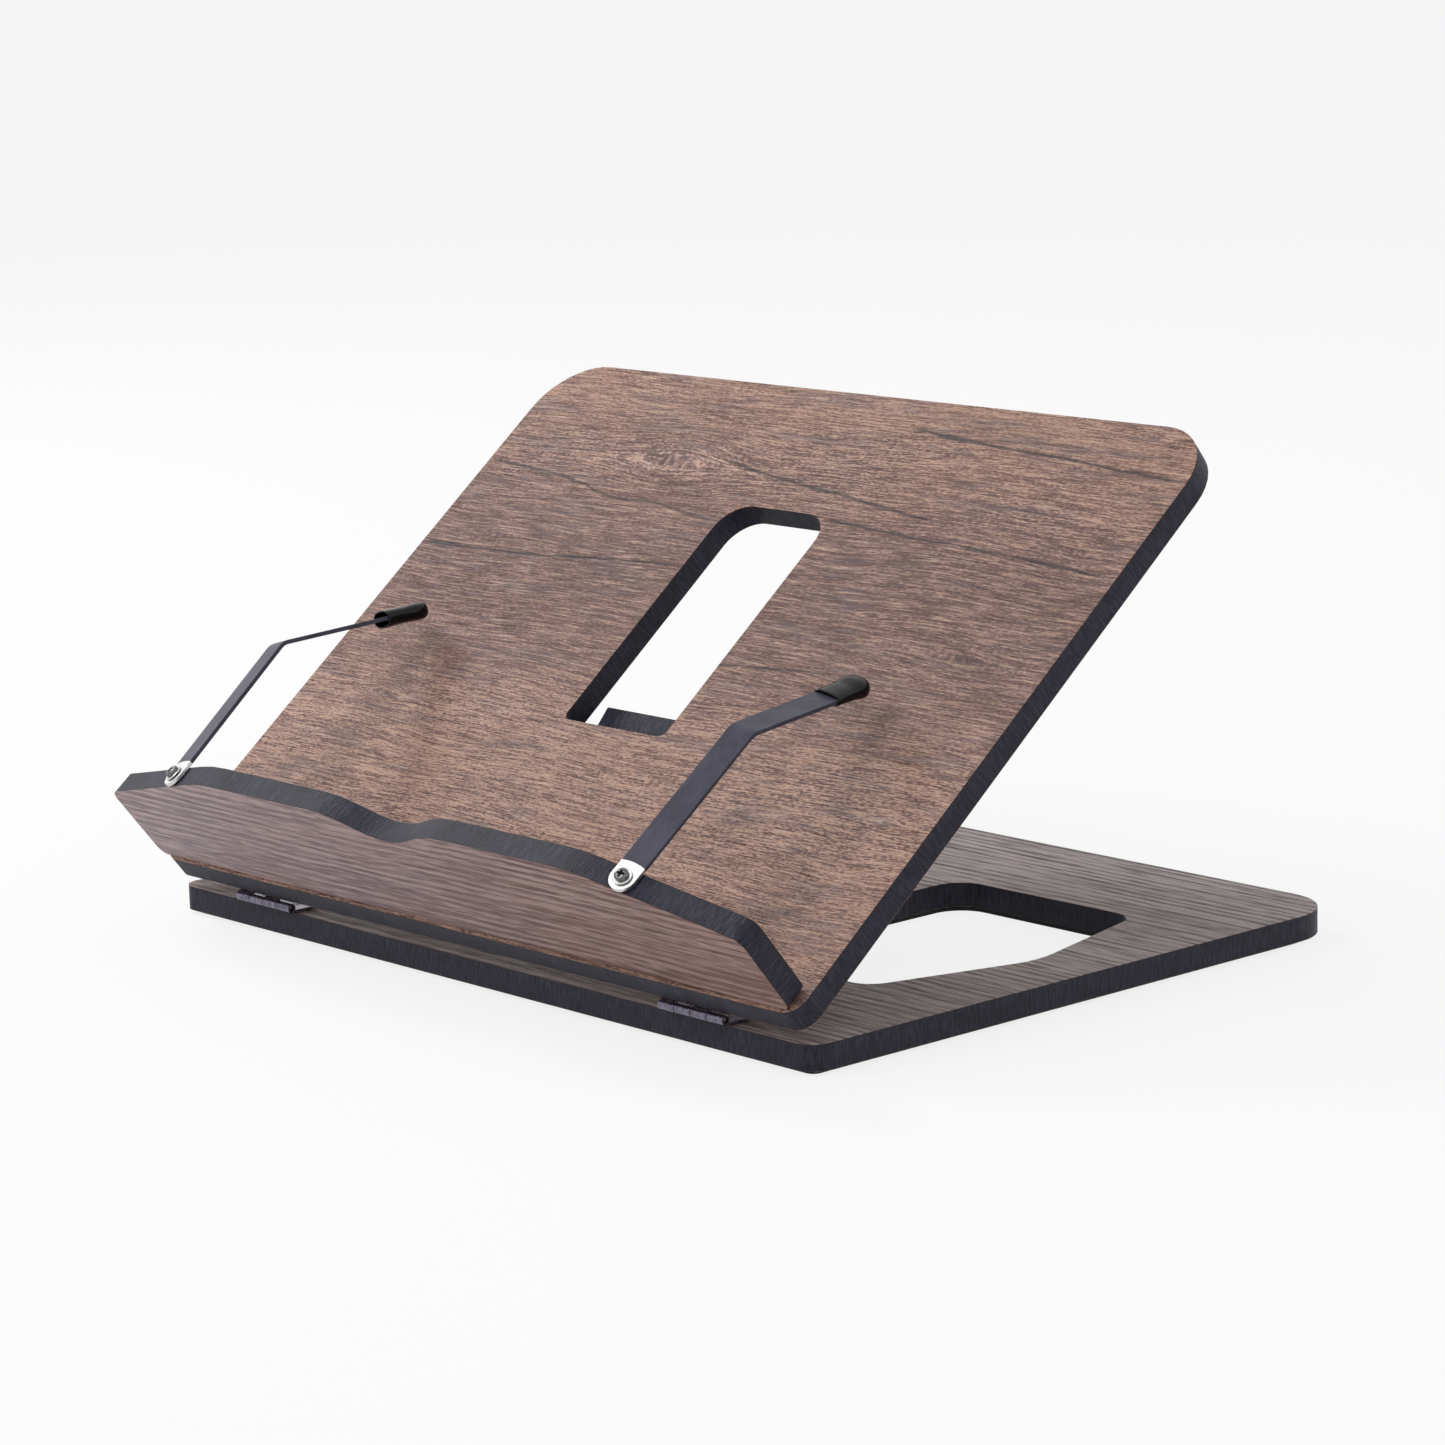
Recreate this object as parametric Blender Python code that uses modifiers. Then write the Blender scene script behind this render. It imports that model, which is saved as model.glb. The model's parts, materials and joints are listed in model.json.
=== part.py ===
"""A folding book stand.

A book panel is hinged to a base board along the front. A prop leg, cut from the panel's own
slot, stands on the rib in the middle of the base. A wavy ledge carries the book, and a page
holder swivels on a screw at each side of the ledge.

X runs across the stand, +Y to its back and +Z up. The origin is the middle of the base's
footprint, on the surface that the stand is on. Lengths are in metres, angles in degrees.
"""

import math

import bmesh
import bpy
from mathutils import Euler, Matrix, Vector

STAND = "book_stand"

# General clearances
SEAT_GAP = 0.0003
CUT_OVERRUN = 0.002
WELD_DISTANCE = 0.000002
ARC_STEP_ANGLE = 9.0

# Boards
BOARD_WIDTH = 0.300
BASE_DEPTH = 0.230
PANEL_HEIGHT = 0.230
BOARD_THICKNESS = 0.008
FRONT_CORNER_RADIUS = 0.0065
REAR_CORNER_RADIUS = 0.022
PANEL_ANGLE = 38.8

# Anti-slip sheet under the base
SHEET_THICKNESS = 0.0012
SHEET_INSET = 0.0035
SHEET_WINDOW_INSET = 0.0008

# Windows in the base, either side of the middle rib
RIB_WIDTH = 0.072
WINDOW_FRONT_MARGIN = 0.058
WINDOW_REAR_MARGIN = 0.0565
WINDOW_SIDE_MARGIN = 0.022
WINDOW_REAR_NARROWING = 0.016
WINDOW_FRONT_NARROWING = 0.016
WINDOW_BULGE_SHARE = 0.484
WINDOW_RIB_RADIUS = 0.010
WINDOW_REAR_RADIUS = 0.010
WINDOW_BULGE_RADIUS = 0.030
WINDOW_FRONT_RADIUS = 0.009

# Slot in the panel
SLOT_WIDTH = 0.047
SLOT_BOTTOM = 0.0835
SLOT_LENGTH = 0.0945
SLOT_TOP_RADIUS = 0.011
SLOT_BOTTOM_RADIUS = 0.003

# Prop leg
LEG_SIDE_GAP = 0.0025
LEG_TOP_GAP = 0.0023
LEG_BOTTOM_GAP = 0.0041
LEG_FREE_RADIUS = 0.0095
LEG_HINGE_RADIUS = 0.002
FOOT_CLEARANCE = 0.0003

# Grooves that keep the leg's foot from sliding along the rib
GROOVE_DEPTH = 0.0012
GROOVE_PITCH = 0.012
GROOVE_SIDE_MARGIN = 0.004
GROOVE_STEPS = (-3, -2, -1, 0, 1)

# Ledge, which is set a little towards -X
LEDGE_WIDTH = 0.299
LEDGE_SHIFT = 0.0016
LEDGE_THICKNESS = 0.008
LEDGE_INSET = 0.001
LEDGE_HEIGHT = 0.0465
LEDGE_END_HEIGHT = 0.0301
LEDGE_SLOPE_RUN = 0.0615
LEDGE_DIP_HALF_WIDTH = 0.0238
LEDGE_DIP_DEPTH = 0.0101
LEDGE_FOOT_RADIUS = 0.0035
LEDGE_END_RADIUS = 0.0045
LEDGE_SHOULDER_RADIUS = 0.055
LEDGE_LIP_RADIUS = 0.042
LEDGE_DIP_RADIUS = 0.030

# Fold hinges, between base and panel
FOLD_HINGE_INSET = 0.048
FOLD_AXIS_OUT = 0.00135
FOLD_AXIS_LIFT = 0.00175
FOLD_BARREL_CLEARANCE = 0.0007
FOLD_LEAF_REACH = 0.0105
FOLD_HOLE_REACH = 0.0065

# Prop hinge, between panel and leg
PROP_AXIS_LIFT = 0.0017
PROP_AXIS_SETBACK = 0.0004
PROP_BARREL_CLEARANCE = 0.0003
PROP_PANEL_LEAF_REACH = 0.0125
PROP_PANEL_HOLE_REACH = 0.0083
PROP_LEG_LEAF_REACH = 0.0105
PROP_LEG_HOLE_REACH = 0.0062

# All hinges
HINGE_LENGTH = 0.028
KNUCKLE_GAP = 0.0003
LEAF_THICKNESS = 0.0008
PIN_CLEARANCE = 0.0003
PIN_RECESS = 0.0005
PIN_RADIUS_SHARE = 0.42
LEAF_TAB_SHARE = 0.55
LEAF_HOLE_SHARES = (-0.29, 0.29)
LEAF_HOLE_RADIUS = 0.0011
LEAF_SINK_RADIUS = 0.0019

# Page holders
HOLDER_INSET = 0.0429
HOLDER_WIDTH = 0.0086
HOLDER_THICKNESS = 0.0013
HOLDER_ARM = 0.0577
HOLDER_REACH = 0.0507
HOLDER_BEND_ANGLE = 34.5
HOLDER_BEND_RADIUS = 0.006
LEFT_HOLDER_LEAN = 5.4
RIGHT_HOLDER_LEAN = -1.6

# Rubber caps on the page holders: a flat sleeve with a thicker, round end
CAP_LENGTH = 0.0175
CAP_WIDTH = 0.0100
CAP_MOUTH_THICKNESS = 0.0040
CAP_WAIST_THICKNESS = 0.0036
CAP_END_THICKNESS = 0.0050
CAP_WAIST_SHARE = 0.42
CAP_SWELL_SHARE = 0.76
CAP_SQUARENESS = 3.2
CAP_RING_POINTS = 28
CAP_SMOOTH_ANGLE = 50.0
CAP_POCKET_DEPTH = 0.0135
CAP_POCKET_THICKNESS = 0.0026
LEFT_CAP_END_GAP = 0.0031
RIGHT_CAP_END_GAP = 0.0005

# Pivot screws of the page holders
PIVOT_SHANK_RADIUS = 0.0016
PIVOT_SHANK_LENGTH = 0.0105
PIVOT_HOLE_CLEARANCE = 0.0003
PIVOT_HEAD_RADIUS = 0.0025
PIVOT_HEAD_HEIGHT = 0.0017
PIVOT_WASHER_RADIUS = 0.0033
PIVOT_WASHER_THICKNESS = 0.0005
DRIVE_LENGTH = 0.0029
DRIVE_WIDTH = 0.0007
DRIVE_DEPTH = 0.0009

# Places that follow from the sizes
BASE_TOP = SHEET_THICKNESS + SEAT_GAP + BOARD_THICKNESS
BASE_FRONT = -BASE_DEPTH / 2
FOLD_AXIS_Y = BASE_FRONT - FOLD_AXIS_OUT
FOLD_AXIS_Z = BASE_TOP + FOLD_AXIS_LIFT
FOLD_BARREL_RADIUS = math.hypot(FOLD_AXIS_OUT, FOLD_AXIS_LIFT) - FOLD_BARREL_CLEARANCE
PROP_BARREL_RADIUS = PROP_AXIS_LIFT - PROP_BARREL_CLEARANCE

# The panel's own axes start at the fold axis: Y runs up its slope and Z out of its face
PANEL_BOTTOM = FOLD_AXIS_OUT
PANEL_BACK = FOLD_AXIS_LIFT
PANEL_FRONT = PANEL_BACK + BOARD_THICKNESS

LEG_END = PANEL_BOTTOM + SLOT_BOTTOM + LEG_BOTTOM_GAP
PROP_AXIS_Y = LEG_END - PROP_AXIS_SETBACK
PROP_AXIS_Z = PANEL_BACK - PROP_AXIS_LIFT
LEG_TIP = PANEL_BOTTOM + SLOT_BOTTOM + SLOT_LENGTH - LEG_TOP_GAP
LEG_REACH = LEG_TIP - PROP_AXIS_Y
LEG_WIDTH = SLOT_WIDTH - 2 * LEG_SIDE_GAP


def leg_slope():
    """Angle below the horizontal at which the leg's foot meets the rib."""
    tilt = math.radians(PANEL_ANGLE)
    rise = FOLD_AXIS_LIFT + PROP_AXIS_Y * math.sin(tilt) + PROP_AXIS_Z * math.cos(tilt)
    drop = rise - FOOT_CLEARANCE
    foot_radius = math.hypot(LEG_REACH, PROP_AXIS_LIFT)
    return math.degrees(math.asin(drop / foot_radius) + math.atan2(PROP_AXIS_LIFT, LEG_REACH))


LEG_SLOPE = leg_slope()
LEG_ANGLE = LEG_SLOPE + PANEL_ANGLE


def foot_place():
    """Where the foot's lower corner stands, along Y."""
    tilt = math.radians(PANEL_ANGLE)
    slope = math.radians(LEG_SLOPE)
    axis_y = FOLD_AXIS_Y + PROP_AXIS_Y * math.cos(tilt) - PROP_AXIS_Z * math.sin(tilt)
    return axis_y + LEG_REACH * math.cos(slope) + PROP_AXIS_LIFT * math.sin(slope)


# Scene helpers
for old in list(bpy.data.objects):
    bpy.data.objects.remove(old, do_unlink=True)

parts = bpy.data.collections.new(STAND)
cutters = bpy.data.collections.new(STAND + "_cutters")
bpy.context.scene.collection.children.link(parts)
bpy.context.scene.collection.children.link(cutters)


def material(name, colour, roughness, metallic=0.0):
    made = bpy.data.materials.new(name)
    made.use_nodes = True
    shader = made.node_tree.nodes["Principled BSDF"]
    shader.inputs["Base Color"].default_value = (*colour, 1.0)
    shader.inputs["Roughness"].default_value = roughness
    shader.inputs["Metallic"].default_value = metallic
    made.diffuse_color = (*colour, 1.0)
    return made


def axis_empty(name, place, turn=(0, 0, 0), parent=None):
    """An empty on a joint's axis, which carries the pieces that move with it."""
    empty = bpy.data.objects.new(name, None)
    parts.objects.link(empty)
    empty.location = place
    empty.rotation_euler = Euler([math.radians(angle) for angle in turn])
    empty.parent = parent
    return empty


def evaluated_mesh(source):
    """The source object's shape as a clean mesh, with its caps welded."""
    bpy.context.view_layer.update()
    graph = bpy.context.evaluated_depsgraph_get()
    mesh = bpy.data.meshes.new_from_object(source.evaluated_get(graph))
    work = bmesh.new()
    work.from_mesh(mesh)
    bmesh.ops.remove_doubles(work, verts=work.verts, dist=WELD_DISTANCE)
    bmesh.ops.recalc_face_normals(work, faces=work.faces)
    work.to_mesh(mesh)
    work.free()
    return mesh


def mesh_object(name, mesh, look=None, parent=None, collection=None):
    made = bpy.data.objects.new(name, mesh)
    (collection or parts).objects.link(made)
    made.parent = parent
    if look is not None:
        mesh.materials.clear()
        mesh.materials.append(look)
    if collection is cutters:
        made.hide_render = True
        made.display_type = "WIRE"
    return made


def plate(name, outline, thickness, look=None, parent=None, collection=None):
    """A flat piece from a closed outline, centred on Z."""
    curve = bpy.data.curves.new(name + "_outline", "CURVE")
    curve.dimensions = "2D"
    curve.fill_mode = "BOTH"
    curve.extrude = thickness / 2
    spline = curve.splines.new("POLY")
    spline.points.add(len(outline) - 1)
    for point, (x, y) in zip(spline.points, outline):
        point.co = (x, y, 0, 1)
    spline.use_cyclic_u = True
    flat = bpy.data.objects.new(name + "_flat", curve)
    cutters.objects.link(flat)
    mesh = evaluated_mesh(flat)
    bpy.data.objects.remove(flat, do_unlink=True)
    mesh.name = name
    return mesh_object(name, mesh, look, parent, collection)


def box(name, low, high, look=None, parent=None, collection=None):
    work = bmesh.new()
    bmesh.ops.create_cube(work, size=1)
    for vertex in work.verts:
        for axis in range(3):
            share = vertex.co[axis] + 0.5
            vertex.co[axis] = low[axis] + share * (high[axis] - low[axis])
    mesh = bpy.data.meshes.new(name)
    work.to_mesh(mesh)
    work.free()
    return mesh_object(name, mesh, look, parent, collection)


def cylinder(name, radius, low, high, axis="Z", look=None, parent=None, collection=None,
             top_radius=None, segments=28):
    """A cylinder or cone along Z or X, from low to high."""
    work = bmesh.new()
    bmesh.ops.create_cone(
        work, cap_ends=True, segments=segments, radius1=radius,
        radius2=radius if top_radius is None else top_radius, depth=high - low)
    bmesh.ops.translate(work, verts=work.verts, vec=(0, 0, (low + high) / 2))
    if axis == "X":
        turn = Euler((0, math.radians(90), 0)).to_matrix()
        bmesh.ops.rotate(work, verts=work.verts, cent=(0, 0, 0), matrix=turn)
    mesh = bpy.data.meshes.new(name)
    work.to_mesh(mesh)
    work.free()
    return mesh_object(name, mesh, look, parent, collection)


def combine(target, tool, operation="DIFFERENCE"):
    """Cuts, joins or trims the target by a tool that is placed in the same frame."""
    modifier = target.modifiers.new(tool.name, "BOOLEAN")
    modifier.object = tool
    modifier.operation = operation
    modifier.solver = "EXACT"


def cut_through(target, name, outline, thickness):
    """An opening of that outline, cut right through a plate that lies flat."""
    tool = plate(name, outline, thickness + 2 * CUT_OVERRUN, collection=cutters)
    tool.parent = target.parent
    tool.location = target.location
    combine(target, tool)


def smooth(made, angle=30.0):
    made.data.shade_smooth()
    made.data.set_sharp_from_angle(angle=math.radians(angle))


# Outline helpers
def rounded(corners):
    """Points of a closed outline from (x, y, radius) corners, each rounded by an arc."""
    points = []
    count = len(corners)
    for index, (x, y, radius) in enumerate(corners):
        here = Vector((x, y))
        if radius <= 0:
            points.append((x, y))
            continue
        before = Vector(corners[index - 1][:2]) - here
        after = Vector(corners[(index + 1) % count][:2]) - here
        half = before.angle(after) / 2
        room = min(before.length, after.length) / 2
        tangent = min(radius / math.tan(half), room)
        inward = (before.normalized() + after.normalized()).normalized()
        centre = here + inward * (tangent / math.cos(half))
        start = here + before.normalized() * tangent - centre
        sweep = math.pi - 2 * half
        if before.x * after.y - before.y * after.x > 0:
            sweep = -sweep
        steps = max(1, math.ceil(abs(math.degrees(sweep)) / ARC_STEP_ANGLE))
        for step in range(steps + 1):
            point = centre + Matrix.Rotation(sweep * step / steps, 2) @ start
            points.append((point.x, point.y))
    return points


def offset(corners, distance):
    """The same outline with each side moved inwards, for corners that run counterclockwise."""
    moved = []
    count = len(corners)
    for index, (x, y, radius) in enumerate(corners):
        here = Vector((x, y))
        to_here = (here - Vector(corners[index - 1][:2])).normalized()
        from_here = (Vector(corners[(index + 1) % count][:2]) - here).normalized()
        normal_in = Vector((-to_here.y, to_here.x))
        normal_out = Vector((-from_here.y, from_here.x))
        middle = normal_in + normal_out
        shift = middle * (distance / (1 + normal_in.dot(normal_out)))
        moved.append((x + shift.x, y + shift.y, radius - distance))
    return moved


def board_corners(depth):
    """A board with tight front corners and wide rear ones, its front edge at zero."""
    side = BOARD_WIDTH / 2
    return [
        (-side, 0, FRONT_CORNER_RADIUS),
        (side, 0, FRONT_CORNER_RADIUS),
        (side, depth, REAR_CORNER_RADIUS),
        (-side, depth, REAR_CORNER_RADIUS),
    ]


def window_corners():
    """The right-hand window, whose outer side bulges."""
    inner = RIB_WIDTH / 2
    outer = BOARD_WIDTH / 2 - WINDOW_SIDE_MARGIN
    front = WINDOW_FRONT_MARGIN
    rear = BASE_DEPTH - WINDOW_REAR_MARGIN
    bulge = front + (rear - front) * WINDOW_BULGE_SHARE
    return [
        (inner, front, WINDOW_RIB_RADIUS),
        (outer - WINDOW_FRONT_NARROWING, front, WINDOW_FRONT_RADIUS),
        (outer, bulge, WINDOW_BULGE_RADIUS),
        (outer - WINDOW_REAR_NARROWING, rear, WINDOW_REAR_RADIUS),
        (inner, rear, WINDOW_RIB_RADIUS),
    ]


def mirrored(points):
    return [(-x, y) for x, y in reversed(points)]


def ledge_corners():
    """The ledge's outline like an open book: X across, Y out from the panel's face."""
    side = LEDGE_WIDTH / 2
    shoulder = side - LEDGE_SLOPE_RUN
    return [
        (-side, SEAT_GAP, LEDGE_FOOT_RADIUS),
        (side, SEAT_GAP, LEDGE_FOOT_RADIUS),
        (side, LEDGE_END_HEIGHT, LEDGE_END_RADIUS),
        (shoulder, LEDGE_HEIGHT, LEDGE_SHOULDER_RADIUS),
        (LEDGE_DIP_HALF_WIDTH, LEDGE_HEIGHT, LEDGE_LIP_RADIUS),
        (0, LEDGE_HEIGHT - LEDGE_DIP_DEPTH, LEDGE_DIP_RADIUS),
        (-LEDGE_DIP_HALF_WIDTH, LEDGE_HEIGHT, LEDGE_LIP_RADIUS),
        (-shoulder, LEDGE_HEIGHT, LEDGE_SHOULDER_RADIUS),
        (-side, LEDGE_END_HEIGHT, LEDGE_END_RADIUS),
    ]


# Materials
wood_base = material("base_wood_print", (0.17, 0.145, 0.135), 0.55)
wood_panel = material("panel_wood_print", (0.24, 0.155, 0.125), 0.55)
wood_ledge = material("ledge_wood_print", (0.22, 0.16, 0.135), 0.55)
wood_leg = material("leg_wood_print", (0.235, 0.155, 0.128), 0.55)
sheet_black = material("anti_slip_black", (0.018, 0.018, 0.020), 0.85)
hinge_bronze = material("hinge_bronze", (0.095, 0.080, 0.085), 0.38, 1.0)
pin_bronze = material("hinge_pin_bronze", (0.21, 0.13, 0.10), 0.35, 1.0)
holder_black = material("holder_black", (0.060, 0.062, 0.075), 0.42)
cap_rubber = material("cap_rubber", (0.012, 0.012, 0.014), 0.22)
screw_nickel = material("screw_nickel", (0.33, 0.34, 0.33), 0.25, 1.0)
washer_nickel = material("washer_nickel", (0.72, 0.73, 0.72), 0.22, 1.0)

# Joint axes
base_axis = axis_empty("base_axis", (0, FOLD_AXIS_Y, FOLD_AXIS_Z))
fold_axis = axis_empty("fold_axis", (0, FOLD_AXIS_Y, FOLD_AXIS_Z), (PANEL_ANGLE, 0, 0))
prop_axis = axis_empty(
    "prop_axis", (0, PROP_AXIS_Y, PROP_AXIS_Z), (-LEG_ANGLE, 0, 0), fold_axis)

# Base board, its windows and grooves
window = rounded(window_corners())
base = plate("base_board", rounded(board_corners(BASE_DEPTH)), BOARD_THICKNESS, wood_base)
base.location = (0, BASE_FRONT, BASE_TOP - BOARD_THICKNESS / 2)
cut_through(base, "right_window", window, BOARD_THICKNESS)
cut_through(base, "left_window", mirrored(window), BOARD_THICKNESS)

# The grooves' cutter is a comb with a V for each, whose bar passes above the board
comb_reach = GROOVE_DEPTH + CUT_OVERRUN
comb = []
for step in GROOVE_STEPS:
    middle = step * GROOVE_PITCH
    comb += [
        (middle - comb_reach, CUT_OVERRUN),
        (middle, -GROOVE_DEPTH),
        (middle + comb_reach, CUT_OVERRUN),
    ]
comb += [(comb[-1][0], 2 * CUT_OVERRUN), (comb[0][0], 2 * CUT_OVERRUN)]
grooves = plate(
    "groove_comb", comb, LEG_WIDTH + 2 * GROOVE_SIDE_MARGIN, collection=cutters)
grooves.rotation_euler = (math.radians(90), 0, math.radians(90))
grooves.location = (0, foot_place(), BASE_TOP)
combine(base, grooves)

# Anti-slip sheet, set in from the board's edges
sheet_window = rounded(offset(window_corners(), -SHEET_WINDOW_INSET))
sheet = plate(
    "anti_slip_sheet", rounded(offset(board_corners(BASE_DEPTH), SHEET_INSET)),
    SHEET_THICKNESS, sheet_black)
sheet.location = (0, BASE_FRONT, SHEET_THICKNESS / 2)
cut_through(sheet, "right_sheet_window", sheet_window, SHEET_THICKNESS)
cut_through(sheet, "left_sheet_window", mirrored(sheet_window), SHEET_THICKNESS)

# Book panel with the slot that the leg is cut from
half_slot = SLOT_WIDTH / 2
slot_top = SLOT_BOTTOM + SLOT_LENGTH
slot = rounded([
    (-half_slot, SLOT_BOTTOM, SLOT_BOTTOM_RADIUS),
    (half_slot, SLOT_BOTTOM, SLOT_BOTTOM_RADIUS),
    (half_slot, slot_top, SLOT_TOP_RADIUS),
    (-half_slot, slot_top, SLOT_TOP_RADIUS),
])
panel = plate(
    "book_panel", rounded(board_corners(PANEL_HEIGHT)), BOARD_THICKNESS, wood_panel, fold_axis)
panel.location = (0, PANEL_BOTTOM, PANEL_BACK + BOARD_THICKNESS / 2)
cut_through(panel, "panel_slot", slot, BOARD_THICKNESS)

# Prop leg, in the frame of its own axis
half_leg = LEG_WIDTH / 2
leg = plate(
    "prop_leg",
    rounded([
        (-half_leg, PROP_AXIS_SETBACK, LEG_HINGE_RADIUS),
        (half_leg, PROP_AXIS_SETBACK, LEG_HINGE_RADIUS),
        (half_leg, LEG_REACH, LEG_FREE_RADIUS),
        (-half_leg, LEG_REACH, LEG_FREE_RADIUS),
    ]),
    BOARD_THICKNESS, wood_leg, prop_axis)
leg.location = (0, 0, PROP_AXIS_LIFT + BOARD_THICKNESS / 2)

# Ledge, square to the panel's face just above its lower edge
ledge = plate(
    "ledge", rounded(ledge_corners()), LEDGE_THICKNESS, wood_ledge, fold_axis)
ledge_middle = PANEL_BOTTOM + LEDGE_INSET + LEDGE_THICKNESS / 2
ledge.location = (-LEDGE_SHIFT, ledge_middle, PANEL_FRONT)
ledge.rotation_euler = (math.radians(90), 0, 0)


# Hinges: the axis lies along X, the leaf runs to +Y or -Y, and its board is above or below
def hinge_leaf(name, parent, centre, barrel, lift, reach, hole_reach, along, face, knuckles):
    """One leaf with its knuckles. along and face are +1 or -1, knuckles are counted from -X."""
    pin = barrel * PIN_RADIUS_SHARE
    half = HINGE_LENGTH / 2
    pitch = HINGE_LENGTH / 4
    inner_z = lift - SEAT_GAP - LEAF_THICKNESS
    outer_z = lift - SEAT_GAP
    z_low, z_high = sorted((face * inner_z, face * outer_z))
    start = barrel + KNUCKLE_GAP
    y_low, y_high = sorted((along * start, along * reach))
    leaf = box(name, (-half, y_low, z_low), (half, y_high, z_high), hinge_bronze, parent)
    leaf.location = (centre, 0, 0)
    places = []
    for knuckle in knuckles:
        low = -half + knuckle * pitch + KNUCKLE_GAP / 2
        high = low + pitch - KNUCKLE_GAP
        tab_low, tab_high = sorted((along * barrel * LEAF_TAB_SHARE, along * (start + LEAF_THICKNESS)))
        tab = box("%s_tab_%d" % (name, knuckle), (low, tab_low, z_low), (high, tab_high, z_high),
                  collection=cutters)
        tube = cylinder("%s_knuckle_%d" % (name, knuckle), barrel, low, high, "X", collection=cutters)
        places += [tab, tube]
    for tool in places:
        tool.parent = parent
        tool.location = (centre, 0, 0)
        combine(leaf, tool, "UNION")
    bore = cylinder(name + "_bore", pin + PIN_CLEARANCE, -half - CUT_OVERRUN, half + CUT_OVERRUN,
                    "X", collection=cutters)
    bore.parent = parent
    bore.location = (centre, 0, 0)
    combine(leaf, bore)
    for number, share in enumerate(LEAF_HOLE_SHARES):
        hole = cylinder(
            "%s_hole_%d" % (name, number + 1), LEAF_HOLE_RADIUS,
            -LEAF_THICKNESS - CUT_OVERRUN, CUT_OVERRUN, collection=cutters, segments=20)
        sink = cylinder(
            "%s_sink_%d" % (name, number + 1), LEAF_HOLE_RADIUS,
            LEAF_HOLE_RADIUS - LEAF_SINK_RADIUS, CUT_OVERRUN, collection=cutters,
            top_radius=LEAF_SINK_RADIUS + CUT_OVERRUN, segments=20)
        for tool in (hole, sink):
            tool.parent = parent
            tool.location = (centre + share * HINGE_LENGTH, along * hole_reach, face * inner_z)
            tool.rotation_euler = (0 if face < 0 else math.radians(180), 0, 0)
            combine(leaf, tool)
    return leaf


def hinge_pin(name, parent, centre, barrel):
    half = HINGE_LENGTH / 2 - PIN_RECESS
    pin = cylinder(name, barrel * PIN_RADIUS_SHARE, -half, half, "X", pin_bronze, parent)
    pin.location = (centre, 0, 0)
    smooth(pin)
    return pin


for side, sign in (("left", -1), ("right", 1)):
    centre = sign * (BOARD_WIDTH / 2 - FOLD_HINGE_INSET)
    hinge_leaf(side + "_hinge_panel_leaf", fold_axis, centre, FOLD_BARREL_RADIUS, FOLD_AXIS_LIFT,
               FOLD_LEAF_REACH, FOLD_HOLE_REACH, 1, 1, (0, 2))
    hinge_leaf(side + "_hinge_base_leaf", base_axis, centre, FOLD_BARREL_RADIUS, FOLD_AXIS_LIFT,
               FOLD_LEAF_REACH, FOLD_HOLE_REACH, 1, -1, (1, 3))
    hinge_pin(side + "_hinge_pin", base_axis, centre, FOLD_BARREL_RADIUS)

prop_panel_axis = axis_empty("prop_panel_axis", (0, PROP_AXIS_Y, PROP_AXIS_Z), parent=fold_axis)
hinge_leaf("prop_hinge_panel_leaf", prop_panel_axis, 0, PROP_BARREL_RADIUS, PROP_AXIS_LIFT,
           PROP_PANEL_LEAF_REACH, PROP_PANEL_HOLE_REACH, -1, 1, (0, 2))
hinge_leaf("prop_hinge_leg_leaf", prop_axis, 0, PROP_BARREL_RADIUS, PROP_AXIS_LIFT,
           PROP_LEG_LEAF_REACH, PROP_LEG_HOLE_REACH, 1, 1, (1, 3))
hinge_pin("prop_hinge_pin", prop_panel_axis, 0, PROP_BARREL_RADIUS)


# Page holders: in the pivot's frame Z points out of the ledge's edge and Y up the panel
def holder_profile():
    """The bent strip seen from its side: Y along the arm, Z out from the ledge."""
    bend = math.radians(HOLDER_BEND_ANGLE)
    middle = SEAT_GAP + HOLDER_THICKNESS / 2
    tangent = HOLDER_BEND_RADIUS * math.tan(bend / 2)
    line = [(-HOLDER_WIDTH, middle, 0.0)]
    steps = math.ceil(HOLDER_BEND_ANGLE / ARC_STEP_ANGLE)
    for step in range(steps + 1):
        turn = bend * step / steps
        y = HOLDER_ARM - tangent + HOLDER_BEND_RADIUS * math.sin(turn)
        z = middle - HOLDER_BEND_RADIUS * (1 - math.cos(turn))
        line.append((y, z, turn))
    y = HOLDER_ARM + HOLDER_REACH * math.cos(bend)
    z = middle - HOLDER_REACH * math.sin(bend)
    line.append((y, z, bend))
    half = HOLDER_THICKNESS / 2
    upper = [(y + half * math.sin(turn), z + half * math.cos(turn)) for y, z, turn in line]
    lower = [(y - half * math.sin(turn), z - half * math.cos(turn)) for y, z, turn in line]
    return upper + lower[::-1]


def cap_section(along):
    """Half the cap's width and half its thickness at a distance from its mouth."""
    def eased(first, second, share):
        share = min(max(share, 0), 1)
        return first + (second - first) * (1 - math.cos(math.pi * share)) / 2

    waist = CAP_LENGTH * CAP_WAIST_SHARE
    swell = CAP_LENGTH * CAP_SWELL_SHARE
    if along < waist:
        thickness = eased(CAP_MOUTH_THICKNESS, CAP_WAIST_THICKNESS, along / waist)
    else:
        share = (along - waist) / (swell - waist)
        thickness = eased(CAP_WAIST_THICKNESS, CAP_END_THICKNESS, share)
    rounding = []
    for radius in (CAP_WIDTH / 2, CAP_END_THICKNESS / 2):
        past = max(along - (CAP_LENGTH - radius), 0) / radius
        rounding.append(math.sqrt(max(1 - past * past, 0)))
    return CAP_WIDTH / 2 * rounding[0], thickness / 2 * rounding[1]


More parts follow.
